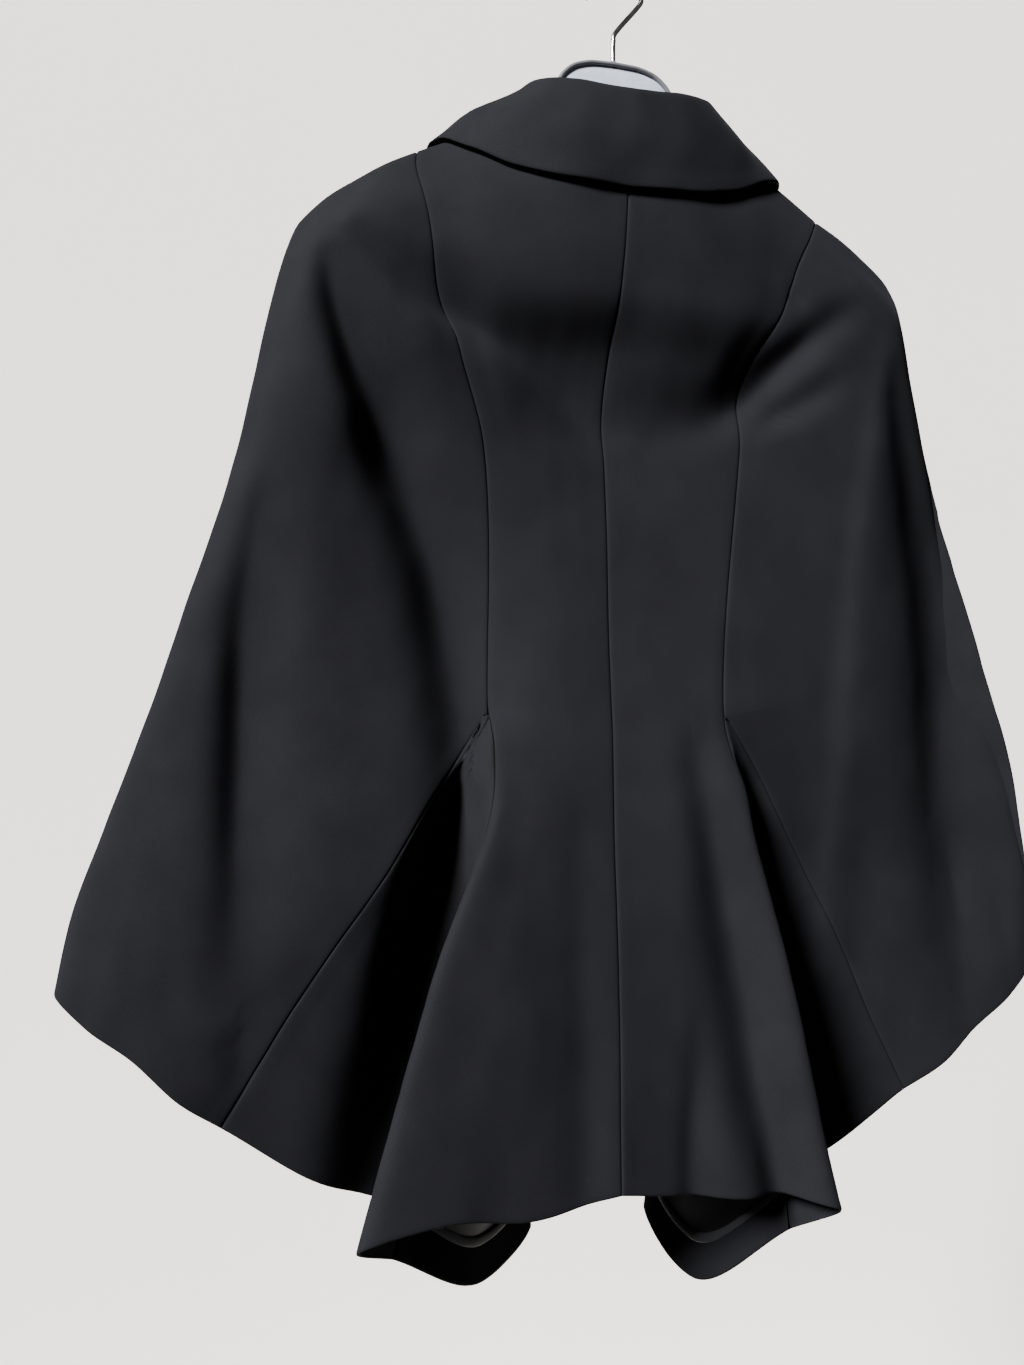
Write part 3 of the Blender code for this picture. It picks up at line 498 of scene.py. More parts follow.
def wing_rows(side, levels):
    upper = guide(PRINCESS_SEAM, side, levels)
    lower = guide(DIAGONAL_SEAM, side, levels)
    points = [np.where(levels[:, None] <= 1.0, upper, lower)]
    points += [guide(g, side, levels) for g in (WING_INNER, WING_MIDDLE, WING_OUTER, WING_FOLD)]
    return through(points, after=front_wing_guides(side, levels)[0])


def front_wing_rows(side, levels):
    points = [guide(WING_FOLD, side, levels), *front_wing_guides(side, levels),
              guide(FRONT_SEAM, side, levels)]
    return through(points, before=guide(WING_OUTER, side, levels))


def front_rows(side, levels):
    lap = tuple((level, -across, *rest) for level, across, *rest in CENTRE_FRONT)
    guides = (FRONT_SEAM, FRONT_SHOULDER, FRONT_NECK, FRONT_INNER, lap, CENTRE_FRONT)
    rows = through([guide(g, side, levels) for g in guides])
    if side < 0:
        middle = hung(1, 0, 0, rows[:, :1, 2] / MM, 0)[..., 0]
        reach = (middle - rows[..., 0]) / MM
        rows[..., 1] -= FRONT_LAP_STEP * MM * (1 - fade(reach, *FRONT_LAP_WIDTH))
    return rows


def runs_along(line):
    """Distance along a line to each of its points."""
    return np.concatenate(([0.0], np.cumsum(np.linalg.norm(np.diff(line, axis=0), axis=1))))


def at_places(places, runs, line):
    """Points on a line at places along it."""
    return np.stack([np.interp(places, runs, line[:, k]) for k in range(3)], axis=1)


def row_runs(grid):
    """Distance along each row of a grid to each of its points."""
    step = np.linalg.norm(np.diff(grid, axis=1), axis=2)
    return np.cumsum(np.pad(step, ((0, 0), (1, 0))), axis=1)


def even_columns(rows, count):
    """The rows with evenly spaced columns and a few close ones at both side edges."""
    edge = np.array((0.0, *EDGE_COLUMNS)) * MM
    result = []
    for row in rows:
        runs = runs_along(row)
        length = runs[-1]
        close = np.minimum(edge, length * 0.2 * edge / edge[-1])
        inside = np.linspace(close[-1], length - close[-1], count)[1:-1]
        places = np.concatenate((close, inside, (length - close)[::-1]))
        result.append(at_places(places, runs, row))
    return np.array(result)


def fine_levels():
    upper = np.linspace(0.0, 1.0, UPPER_ROWS)
    lower = np.linspace(1.0, 2.0, LOWER_ROWS)
    return np.unique(np.round(np.concatenate((upper, lower, EDGE_LEVELS)), 5))


def grid_normals(grid, side):
    """Unit normals of a grid of points, towards the coat's outside."""
    normals = np.cross(np.gradient(grid, axis=0), np.gradient(grid, axis=1)) * side
    return normals / np.maximum(np.linalg.norm(normals, axis=2, keepdims=True), 1e-12)


def border(grid):
    """Row and column of each point on the edge of a grid."""
    rows, columns = grid.shape[:2]
    inside = np.zeros((rows, columns), bool)
    inside[1:-1, 1:-1] = True
    return list(zip(*np.where(~inside)))


def join_normals(panels, normals):
    """Gives neighbouring panels the same normals where their edges meet."""
    found = {}
    for name, grid in panels.items():
        tree = KDTree(len(border(grid)))
        spots = border(grid)
        for k, (row, column) in enumerate(spots):
            tree.insert(grid[row, column], k)
        tree.balance()
        found[name] = (tree, spots)
    result = {}
    for name, grid in panels.items():
        joined = normals[name].copy()
        for row, column in border(grid):
            total = normals[name][row, column].copy()
            for other, (tree, spots) in found.items():
                if other == name:
                    continue
                _, index, far = tree.find(grid[row, column])
                if far < MEET:
                    total += normals[other][spots[index]]
            length = np.linalg.norm(total)
            if length > FOLDED_FLAT:
                joined[row, column] = total / length
        result[name] = joined
    return result


def route_points(route):
    """A crease's route made smooth, with its depth and its reach on both sides."""
    rows = np.array(route, float)
    keys = np.arange(len(rows))
    places = np.linspace(0, len(rows) - 1, 6 * (len(rows) - 1) + 1)
    return np.stack([smooth_line(keys, rows[:, k], places) for k in range(rows.shape[1])], axis=1)


def crease_push(points, creases):
    """How far the creases push each point outwards, in mm."""
    spots = points[..., (0, 2)].reshape(-1, 2) / MM
    push = np.zeros(len(spots))
    for route in creases.values():
        line = route_points(route)
        low, high = line[:, :2].min(axis=0), line[:, :2].max(axis=0)
        reach = 3 * line[:, 3:].max()
        near = np.all((spots > low - reach) & (spots < high + reach), axis=1)
        if not near.any():
            continue
        spot = spots[near]
        start, step = line[:-1, :2], np.diff(line[:, :2], axis=0)
        away = spot[:, None] - start[None]
        share = np.clip((away * step).sum(-1) / (step * step).sum(-1), 0.0, 1.0)
        gap = away - share[..., None] * step
        far = np.linalg.norm(gap, axis=-1)
        k = far.argmin(axis=1)
        pick = np.arange(len(spot))
        here = share[pick, k][:, None]
        facts = line[k, 2:] * (1 - here) + line[k + 1, 2:] * here
        cross = step[k, 0] * gap[pick, k, 1] - step[k, 1] * gap[pick, k, 0]
        width = np.where(cross > 0, facts[:, 1], facts[:, 2])
        push[near] += facts[:, 0] * np.exp(-(far[pick, k] / width) ** 2)
    return push.reshape(points.shape[:-1])


def back_push(name, grid):
    """Creases of the coat's back: what a panel shares with its neighbours, and its own."""
    upper = crease_push(grid, UPPER_CREASES)
    wing = crease_push(grid, WING_CREASES)
    if name.startswith("wing"):
        return upper + wing
    above = 1 - fade(-grid[..., 2] / MM, *WING_CREASES_END)
    back = upper + wing * above + crease_push(grid, PEPLUM_CREASES)
    if not name.startswith("gusset"):
        return back
    runs = row_runs(grid)
    share = runs / np.maximum(runs[:, -1:], MM)
    inside = fade(share, *GUSSET_OWN_IN) * (1 - fade(share, *GUSSET_OWN_OUT))
    own = crease_push(grid, GUSSET_CREASES) * inside
    blend = fade(share, *GUSSET_BLEND)
    return back * (1 - blend) + (upper + wing + own) * blend


def unevenness(points):
    """Slow, shallow unevenness of hung cloth, in mm."""
    (wide, tall), (fine_wide, fine_tall) = UNEVEN_SIZES
    push = []
    for x, y, z in points.reshape(-1, 3) / MM:
        slow = noise.noise(Vector((x / wide, y / wide, z / tall)))
        spot = Vector((x / fine_wide, y / fine_wide + UNEVEN_SHIFT, z / fine_tall))
        push.append(UNEVEN * (slow + UNEVEN_FINE * noise.noise(spot)))
    return np.array(push).reshape(points.shape[:-1])


def cloth_map(grid, side):
    """Flat place of each point in the cloth, in metres: along the row and up the grain."""
    step = np.diff(grid, axis=1)
    along = np.hypot(step[..., 0], step[..., 1])
    start = side * grid[:, :1, 0]
    across = np.concatenate((start, start + np.cumsum(along, axis=1)), axis=1)
    return np.stack((side * across, grid[..., 2]), axis=-1)


def edge_dip(rows, columns, seams):
    """How deep each point of a panel dips towards the seams and the hem, in metres."""
    dip = np.zeros((rows, columns))
    for k, depth in enumerate(SEAM_DIP):
        if "start" in seams:
            dip[:, k] = np.maximum(dip[:, k], depth)
        if "end" in seams:
            dip[:, -1 - k] = np.maximum(dip[:, -1 - k], depth)
    for k, depth in enumerate(HEM_DIP):
        if "hem" in seams:
            dip[-1 - k] = np.maximum(dip[-1 - k], depth)
    return dip * MM


def mesh_object(name, bm):
    """An object in the scene with the mesh, shaded smooth."""
    mesh = bpy.data.meshes.new(name)
    bm.to_mesh(mesh)
    bm.free()
    mesh.shade_smooth()
    item = bpy.data.objects.new(name, mesh)
    bpy.context.scene.collection.objects.link(item)
    return item


def sheet_mesh(name, grid, normals, flat, seam):
    """A sheet through a grid of points, its outside towards the normals."""
    rows, columns = grid.shape[:2]
    bm = bmesh.new()
    uv = bm.loops.layers.uv.new("cloth")
    near = bm.verts.layers.float.new("seam")
    made = bmesh.ops.create_grid(bm, x_segments=columns - 1, y_segments=rows - 1, size=1.0)
    place = {}
    for vert in made["verts"]:
        column = round((vert.co.x + 1) / 2 * (columns - 1))
        row = round((vert.co.y + 1) / 2 * (rows - 1))
        place[vert] = (row, column)
        vert.co = grid[row, column]
        vert[near] = seam[row, column]
    for face in bm.faces:
        for loop in face.loops:
            loop[uv].uv = flat[place[loop.vert]]
    bm.normal_update()
    middle = next(v for v in made["verts"] if place[v] == (rows // 2, columns // 2))
    if middle.normal.dot(Vector(normals[rows // 2, columns // 2])) < 0:
        bmesh.ops.reverse_faces(bm, faces=bm.faces)
    return mesh_object(name, bm)


def thicken(item, thickness):
    wall = item.modifiers.new("wall", "SOLIDIFY")
    wall.thickness = thickness
    wall.offset = -1.0
    wall.use_rim = True


def edge_distance(grid, seams):
    """Distance of each point from the panel's sewn side edges, in mm, as far as they reach."""
    runs = row_runs(grid) / MM
    far = np.full(runs.shape, SEAM_REACH)
    if "start" in seams:
        far = np.minimum(far, runs)
    if "end" in seams:
        far = np.minimum(far, runs[:, -1:] - runs)
    return far


def coat_shapes():
    """Middle surface, normals and side of every panel of the hung coat."""
    if SHAPES:
        return SHAPES
    levels = fine_levels()
    below = levels[levels > 1.0]
    panels, sides = {}, {}
    for word, side in SIDES:
        made = {"back": back_rows(side, levels), "gusset": gusset_rows(side, below),
                "wing_back": wing_rows(side, levels), "wing_front": front_wing_rows(side, levels),
                "front": front_rows(side, levels)}
        shoulder = 2 * DENSE + 1
        meet = (made["back"][0, -shoulder:] + made["front"][0, :shoulder][::-1]) / 2
        made["back"][0, -shoulder:] = meet
        made["front"][0, :shoulder] = meet[::-1]
        for kind, rows in made.items():
            panels[f"{kind}_{word}"] = even_columns(rows, PANEL_COLUMNS[kind])
            sides[f"{kind}_{word}"] = side
    normals = join_normals(panels, {n: grid_normals(g, sides[n]) for n, g in panels.items()})
    strength = bpy.context.scene.coat_cloth.crease_strength
    for name, grid in panels.items():
        facing = normals[name][..., 1]
        uneven = unevenness(grid) * fade(-grid[..., 2] / MM, *UNEVEN_FROM)
        shift = normals[name] * uneven[..., None]
        shift[..., 1] -= back_push(name, grid) * fade(-facing, *FACING_FADE)
        shift[..., 1] += crease_push(grid, FRONT_CREASES) * fade(facing, *FACING_FADE)
        SHAPES[name] = (grid, strength * shift * MM)
    moved = {n: g + shift for n, (g, shift) in SHAPES.items()}
    after = join_normals(moved, {n: grid_normals(g, sides[n]) for n, g in moved.items()})
    for name in SHAPES:
        SHAPES[name] = (moved[name], after[name], sides[name])
    return SHAPES


def mark(item, material, node=None):
    """Gives the piece its material and hides the CAD part of that node, if one is named; it hangs
    with the coat.
    """
    item.data.materials.append(material)
    if node:
        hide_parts(node)
    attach(item, "root")


def dress(item, node, material):
    """The piece is marked."""
    mark(item, material, node)


def make_panel(kind, word, seams):
    name = f"{kind}_{word}"
    grid, normals, side = coat_shapes()[name]
    cloth = bpy.context.scene.coat_cloth
    dip = edge_dip(*grid.shape[:2], seams)
    outside = grid + normals * (cloth.thickness / 2 - dip)[..., None]
    item = sheet_mesh(f"cloth_{name}", outside, normals, cloth_map(grid, side),
                      edge_distance(grid, seams))
    thicken(item, cloth.thickness)
    dress(item, name, wool_material())


def collar_rows():
    """Middle surface of the collar: rows from the fall's edge over the roll to the neck seam."""
    shapes = coat_shapes()
    body = BVHTree.FromPolygons(*body_faces(shapes))
    keys = [row[0] for row in COLLAR_STATIONS]
    halves = []
    for word, side in SIDES:
        line, out = neck_line(shapes, side, word)
        runs = runs_along(line)
        places = np.linspace(0, runs[-1], COLLAR_COLUMNS)
        seam = at_places(places, runs, line)
        up = at_places(places, runs, out)
        share = places / places[-1]
        values = [smooth_line(keys, [row[k] for row in COLLAR_STATIONS], share)
                  for k in range(1, 7)]
        roll = hung(side, *values[:3], 0.0)
        edge = hung(side, *values[3:], 0.0)
        rise = np.cross(np.gradient(seam, axis=0), up) * side
        rise /= np.linalg.norm(rise, axis=1, keepdims=True)
        rise = np.where(rise[:, 2:] < 0, -rise, rise)
        edge = np.array([lift_off(body, p, COLLAR_CLEARANCE * MM, True) for p in edge])
        spread = edge - seam
        spread[:, 2] = 0.0
        spread /= np.linalg.norm(spread, axis=1, keepdims=True)
        high = np.array((0.0, 0.0, MM))
        roll_out = roll + spread * COLLAR_ROLL * MM - high * COLLAR_ROLL_DROP
        roll_in = roll - spread * COLLAR_ROLL * MM - high * COLLAR_ROLL_DROP
        middle = (edge + roll_out) / 2 + (spread + high / MM) * COLLAR_BELLY * MM
        guides = [edge, middle, roll_out, roll, roll_in, seam + rise * COLLAR_STAND * MM,
                  seam + rise * COLLAR_SEAT * MM]
        rows = even_columns(through(guides), COLLAR_ROWS)
        for column in rows[1:]:
            for k in range(1, COLLAR_ROWS // 2):
                column[k] = lift_off(body, column[k], COLLAR_CLEARANCE * MM, False)
        halves.append(rows)
    both = np.concatenate((halves[0][::-1], halves[1][1:]))
    return np.swapaxes(both, 0, 1)


def body_faces(shapes):
    """Corners and faces of the panels that the collar lies on."""
    corners, faces = [], []
    for name, (grid, _, _) in shapes.items():
        if name.startswith("gusset"):
            continue
        start, wide = len(corners), grid.shape[1]
        high = int((grid[..., 2].min(axis=1) > COLLAR_LOW * MM).sum()) + 2
        corners += [tuple(p) for row in grid[:high] for p in row]
        for i in range(min(high, len(grid)) - 1):
            for j in range(wide - 1):
                a = start + i * wide + j
                faces.append((a, a + 1, a + wide + 1, a + wide))
    return corners, faces


def lift_off(body, point, least, always):
    """The point, at least so far from the body."""
    spot = body.find_nearest(Vector(point))[0]
    away = Vector(point) - spot
    if always or away.length < least:
        return np.array(spot + away.normalized() * least)
    return np.array(point)


def neck_line(shapes, side, word):
    """The neck seam from the centre back round to the collar's end, with its normals."""
    back, back_out = shapes[f"back_{word}"][0][0], shapes[f"back_{word}"][1][0]
    front, front_out = shapes[f"front_{word}"][0][0], shapes[f"front_{word}"][1][0]
    neck = guide(BACK_MIDDLE, side, 0.0)
    start = int(np.linalg.norm(back - neck, axis=1).argmin())
    first = int(np.linalg.norm(front - neck, axis=1).argmin())
    middle = hung(side, 0.0, 0.0, front[-1, 2] / MM, 0.0)[0]
    last = int((side * (front[:, 0] - middle) > COLLAR_END * MM).sum())
    line = np.concatenate((back[:start + 1], front[first + 1:last]))
    out = np.concatenate((back_out[:start + 1], front_out[first + 1:last]))
    return line, out


def make_collar():
    cloth = bpy.context.scene.coat_cloth
    grid = collar_rows()
    normals = grid_normals(grid, -1)
    thick = cloth.collar_thickness
    dip = np.zeros(grid.shape[:2])
    for k, depth in enumerate(COLLAR_EDGE_DIP):
        dip[k] = np.maximum(dip[k], depth)
        dip[:, k] = np.maximum(dip[:, k], depth)
        dip[:, -1 - k] = np.maximum(dip[:, -1 - k], depth)
    wave = np.array([noise.noise(Vector(p) * COLLAR_WAVE_SCALE) for p in grid.reshape(-1, 3)])
    push = thick / 2 - dip * MM + wave.reshape(grid.shape[:2]) * COLLAR_WAVE * MM
    outside = grid + normals * push[..., None]
    edge = np.linalg.norm(grid - grid[:1], axis=2) / MM
    flat = np.stack((runs_along(grid[0])[None, :] + 0 * edge, edge * MM), axis=-1)
    item = sheet_mesh("cloth_collar", outside, normals, flat, np.minimum(edge, SEAM_REACH))
    thicken(item, thick)
    dress(item, "collar", wool_material())


def hem_walk(grid, normals, columns, distances):
    """Points at the distances up from the hem, in mm, along each of the columns."""
    points, outs = [], []
    for column in columns:
        low = int(math.floor(column))
        high = min(low + 1, grid.shape[1] - 1)
        share = column - low
        line = (grid[:, low] * (1 - share) + grid[:, high] * share)[::-1]
        out = (normals[:, low] * (1 - share) + normals[:, high] * share)[::-1]
        runs = runs_along(line)
        at = np.array(distances) * MM
        points.append(at_places(at, runs, line))
        outs.append(at_places(at, runs, out))
    points = np.swapaxes(np.array(points), 0, 1)[::-1]
    outs = np.swapaxes(np.array(outs), 0, 1)[::-1]
    return points, outs / np.linalg.norm(outs, axis=2, keepdims=True)


def make_inside(word):
    """Hem facing with its bound edge, and the lining above it, inside the flute."""
    grid, normals, side = coat_shapes()[f"gusset_{word}"]
    cloth = bpy.context.scene.coat_cloth
    columns = np.linspace(1, grid.shape[1] * INSIDE_SHARE, INSIDE_COLUMNS)
    depth = cloth.facing_depth / MM
    for name, low, high, lift, thick, material, slot in (
            ("facing", FACING_FROM, depth - BINDING_WIDTH + 1, 0.35, 0.8, wool_material, "wool"),
            ("binding", depth - BINDING_WIDTH, depth, 0.40, 1.5, binding_material, "lining"),
            ("lining", depth - 1.5, LINING_TO, 0.30, 0.45, lining_material, "lining")):
        rows = max(int((high - low) / INSIDE_ROW), 6)
        places = np.linspace(low, high, rows)
        points, outs = hem_walk(grid, normals, columns, places)
        edge = np.minimum(np.arange(rows), np.arange(rows)[::-1])[:, None]
        soft = np.where(edge == 0, thick * 0.35, np.where(edge == 1, thick * 0.08, 0.0))
        deep = cloth.thickness / MM / 2 + lift + thick - soft + lining_sag(points, name)
        inside = points - outs * (deep * MM)[..., None]
        item = sheet_mesh(f"{name}_cloth_{word}", inside, -outs, cloth_map(points, side),
                          np.full(points.shape[:2], SEAM_REACH))
        thicken(item, thick * MM)
        piece = f"{name}_{word}"
        node = None if name == "binding" else piece
        dress(item, node, material())


def lining_sag(points, name):
    """The lining hangs away from the cloth in small soft folds, in mm."""
    if name != "lining":
        return np.zeros(points.shape[:2])
    high = np.linspace(1.0, 0.0, len(points))[:, None]
    fold = [noise.noise(Vector((p[0] * 60, p[1] * 60, p[2] * 18))) for p in points.reshape(-1, 3)]
    return (0.5 + np.array(fold).reshape(points.shape[:2])) * LINING_SAG * np.sin(math.pi * high)


def skin(name, rings):
    """A closed skin over rings of points, its ends filled."""
    rings = np.array(rings)
    count, sides = rings.shape[:2]
    bm = bmesh.new()
    made = bmesh.ops.create_grid(bm, x_segments=sides, y_segments=count - 1, size=1.0)
    for vert in made["verts"]:
        column = round((vert.co.x + 1) / 2 * sides) % sides
        row = round((vert.co.y + 1) / 2 * (count - 1))
        vert.co = rings[row, column]
    bmesh.ops.remove_doubles(bm, verts=bm.verts, dist=1e-7)
    bmesh.ops.holes_fill(bm, edges=[e for e in bm.edges if e.is_boundary], sides=0)
    bmesh.ops.recalc_face_normals(bm, faces=bm.faces)
    item = mesh_object(name, bm)
    item.data.set_sharp_from_angle(angle=SHARP_ANGLE)
    return item


def tube_rings(route, radius, sides=20):
    """Rings round a route that lies in the plane of the hanger."""
    route = np.asarray(route, float)
    along = np.gradient(route, axis=0)
    along /= np.linalg.norm(along, axis=1, keepdims=True)
    flat = np.array((0.0, 1.0, 0.0))
    across = np.cross(along, flat)
    turns = np.linspace(0, 2 * math.pi, sides, endpoint=False)
    radius = np.broadcast_to(np.asarray(radius, float), len(route))
    return [p + r * (np.cos(turns)[:, None] * a + np.sin(turns)[:, None] * flat)
            for p, a, r in zip(route, across, radius)]


def slab_ring(top, bottom, half, roundness, sides=40):
    """Upright section of the hanger: a rounded slab between its top and bottom points."""
    middle, reach = (top + bottom) / 2, (top - bottom) / 2
    turns = np.linspace(0, 2 * math.pi, sides, endpoint=False)
    side = np.sin(turns)
    bulge = np.sign(side) * np.abs(side) ** roundness
    ring = middle + reach * np.cos(turns)[:, None]
    ring[:, 1] += half * bulge
    return ring


def plate_outline(side, places):
    """Top and bottom of the hanger's middle plate at places across, in mm."""
    keys = [row[0] for row in HANGER_PLATE]
    tops = smooth_line(keys, [row[1] for row in HANGER_PLATE], places)
    bottoms = smooth_line(keys, [row[2] for row in HANGER_PLATE], places)
    return (np.stack((side * places, 0 * places, tops), axis=1) * MM,
            np.stack((side * places, 0 * places, bottoms), axis=1) * MM)


def make_hanger():
    """Plastic hanger: a flat middle plate with a rim, arms under the shoulders, and a socket."""
    shapes = coat_shapes()
    wall = bpy.context.scene.coat_cloth.thickness
    halves = {}
    for word, side in SIDES:
        places = np.linspace(0, HANGER_PLATE[-1][0], PLATE_PLACES)
        tops, bottoms = plate_outline(side, places)
        rings = [slab_ring(t, b, PLATE_HALF_THICKNESS * MM, PLATE_ROUNDNESS)
                 for t, b in zip(tops, bottoms)]
        line, out = [], []
        for name in (f"back_{word}", f"wing_back_{word}"):
            grid, normals, _ = shapes[name]
            line += list(grid[0])
            out += list(normals[0])
        keep = [k for k, p in enumerate(line)
                if ARM_FROM * MM < side * p[0] < HANGER_TIP * MM]
        for k in keep[::2]:
            along = (side * line[k][0] / MM - ARM_FROM) / (HANGER_TIP - ARM_FROM)
            top = line[k] - out[k] * (wall / 2 + HANGER_SEAT_GAP)
            deep = HANGER_ARM_DEPTH[0] + (HANGER_ARM_DEPTH[1] - HANGER_ARM_DEPTH[0]) * along
            bottom = top - np.array((0.0, 0.0, deep * MM))
            roundness = HANGER_ROUNDNESS[0] + (HANGER_ROUNDNESS[1] - HANGER_ROUNDNESS[0]) * along
            rings.append(slab_ring(top, bottom, HANGER_HALF_THICKNESS * MM, roundness))
        halves[word] = rings
    body = skin("hanger_shell", halves["left"][::-1] + halves["right"][1:])
    rim = []
    for side in (-1, 1):
        places = np.linspace(0, RIM_TO, RIM_PLACES)
        tops, _ = plate_outline(side, places)
        tops[:, 2] -= RIM_DROP * MM
        rim.append(tops)
    route = np.concatenate((rim[0][::-1], rim[1][1:]))
    mark(body, plate_material(), "hanger_body")
    for name, y in (("back", -1), ("front", 1)):
        line = route + np.array((0.0, y * (PLATE_HALF_THICKNESS - RIM_SUNK) * MM, 0.0))
        bead = skin(f"hanger_rim_{name}", tube_rings(line, RIM_RADIUS * MM, 14))
        mark(bead, rim_material())
    socket = [(0.0, 0.0, z * MM) for z in np.linspace(*SOCKET_HEIGHTS, len(SOCKET_RADII))]
    boss = skin("hanger_socket", tube_rings(socket, np.array(SOCKET_RADII) * MM, 24))
    mark(boss, rim_material())


def make_hook():
    """Bent wire hook, its upper bend round the origin."""
    wire = bpy.context.scene.coat_hanger.wire
    top = HANGER_PLATE[0][1]
    stem = [(x, top + up) for x, up in HOOK_STEM]
    centre = wire / MM / 2 - HOOK_RADIUS
    turns = np.radians(np.linspace(*HOOK_ARC, 46))
    bend = [(HOOK_RADIUS * math.cos(t), centre + HOOK_RADIUS * math.sin(t)) for t in turns]
    guides = np.array([(x, 0.0, z) for x, z in stem + bend[::3]]) * MM
    dense = through([g[None] for g in guides], steps=5)[0]
    radius = np.full(len(dense), wire / 2)
    radius[-3:] *= WIRE_END
    item = skin("hook_wire_bent", tube_rings(dense, radius, 20))
    mark(item, wire_material(), "hanger_hook")


class Shader:
    """A material with one Principled BSDF, and short ways to add nodes to it."""

    def __init__(self, name, **constants):
        self.material = bpy.data.materials.new(name)
        self.material.use_nodes = True
        self.tree = self.material.node_tree
        self.bsdf = self.tree.nodes["Principled BSDF"]
        for socket, value in constants.items():
            self.bsdf.inputs[socket.replace("_", " ")].default_value = value

    def node(self, kind, **settings):
        return add_node(self.tree, kind, **settings)

    def group(self, tree, **values):
        item = self.tree.nodes.new("ShaderNodeGroup")
        item.node_tree = tree
        for socket, value in values.items():
            item.inputs[socket.replace("_", " ")].default_value = value
        return item

    def wire(self, *links):
        wire(self.tree, *links)


def wire(tree, *links):
    """Links in a node tree, each given as a node, its output, the next node and its input."""
    for start, output, end, socket in links:
        tree.links.new(start.outputs[output], end.inputs[socket])


def add_node(tree, kind, **settings):
    """A shader node; settings that name a socket set it, others set the node itself."""
    item = tree.nodes.new(f"ShaderNode{kind}")
    for key, value in settings.items():
        if hasattr(item, key):
            setattr(item, key, value)
        else:
            item.inputs[key.replace("_", " ")].default_value = value
    return item


def new_group(name, inputs, outputs):
    """An empty node group with named inputs and outputs."""
    tree = bpy.data.node_groups.new(name, "ShaderNodeTree")
    for label, kind, value in inputs:
        socket = tree.interface.new_socket(name=label, in_out="INPUT", socket_type=kind)
        if value is not None:
            socket.default_value = value
    for label, kind in outputs:
        tree.interface.new_socket(name=label, in_out="OUTPUT", socket_type=kind)
    return tree, tree.nodes.new("NodeGroupInput"), tree.nodes.new("NodeGroupOutput")


def twill_group():
    """Diagonal twill ribs with uneven yarn, fibre fuzz and slow melange, on cloth places."""
    if "twill weave" in bpy.data.node_groups:
        return bpy.data.node_groups["twill weave"]
    tree, source, result = new_group(
        "twill weave",
        [("Cloth", "NodeSocketVector", None), ("Rib Scale", "NodeSocketFloat", 262.0),
         ("Rib Share", "NodeSocketFloat", 0.5), ("Fuzz Share", "NodeSocketFloat", 0.5),
         ("Dark", "NodeSocketColor", None), ("Light", "NodeSocketColor", None)],
        [("Color", "NodeSocketColor"), ("Roughness", "NodeSocketFloat"),
         ("Height", "NodeSocketFloat")])
    rib = add_node(tree, "TexWave", wave_type="BANDS", bands_direction="X", Distortion=1.6,
                   Detail=2.0, Detail_Scale=1.4)
    yarn = add_node(tree, "TexNoise", Scale=1500.0, Detail=2.0, Roughness=0.6)
    fuzz = add_node(tree, "TexNoise", Scale=620.0, Detail=4.0, Roughness=0.7)
    slow = add_node(tree, "TexNoise", Scale=26.0, Detail=3.0, Roughness=0.55)
    ribs = add_node(tree, "Math", operation="MULTIPLY")
    fibre = add_node(tree, "Math", operation="MULTIPLY")
    relief = add_node(tree, "Math", operation="ADD")
    tone = add_node(tree, "Math", operation="MULTIPLY_ADD")
    tone.inputs[1].default_value = 0.55
    speck = add_node(tree, "MapRange", From_Min=0.62, From_Max=0.80, To_Min=0.0, To_Max=0.5)
    mix_in = add_node(tree, "Math", operation="ADD")
    ramp = add_node(tree, "MapRange", From_Min=0.35, From_Max=1.55)
    color = add_node(tree, "Mix", data_type="RGBA")
    rough = add_node(tree, "MapRange", From_Min=0.2, From_Max=1.0, To_Min=0.92, To_Max=0.74)
    wire(tree, (source, "Cloth", rib, "Vector"), (source, "Rib Scale", rib, "Scale"),
               (source, "Cloth", yarn, "Vector"), (source, "Cloth", fuzz, "Vector"),
               (source, "Cloth", slow, "Vector"), (rib, "Fac", ribs, 0),
               (source, "Rib Share", ribs, 1), (fuzz, "Fac", fibre, 0),
               (source, "Fuzz Share", fibre, 1), (ribs, 0, relief, 0), (fibre, 0, relief, 1),
               (slow, "Fac", tone, 0), (relief, 0, tone, 2), (yarn, "Fac", speck, "Value"),
               (tone, 0, mix_in, 0), (speck, 0, mix_in, 1), (mix_in, 0, ramp, "Value"),
               (ramp, 0, color, "Factor"), (source, "Dark", color, 6),
               (source, "Light", color, 7), (relief, 0, rough, "Value"),
               (color, 2, result, "Color"), (rough, 0, result, "Roughness"),
               (relief, 0, result, "Height"))
    return tree


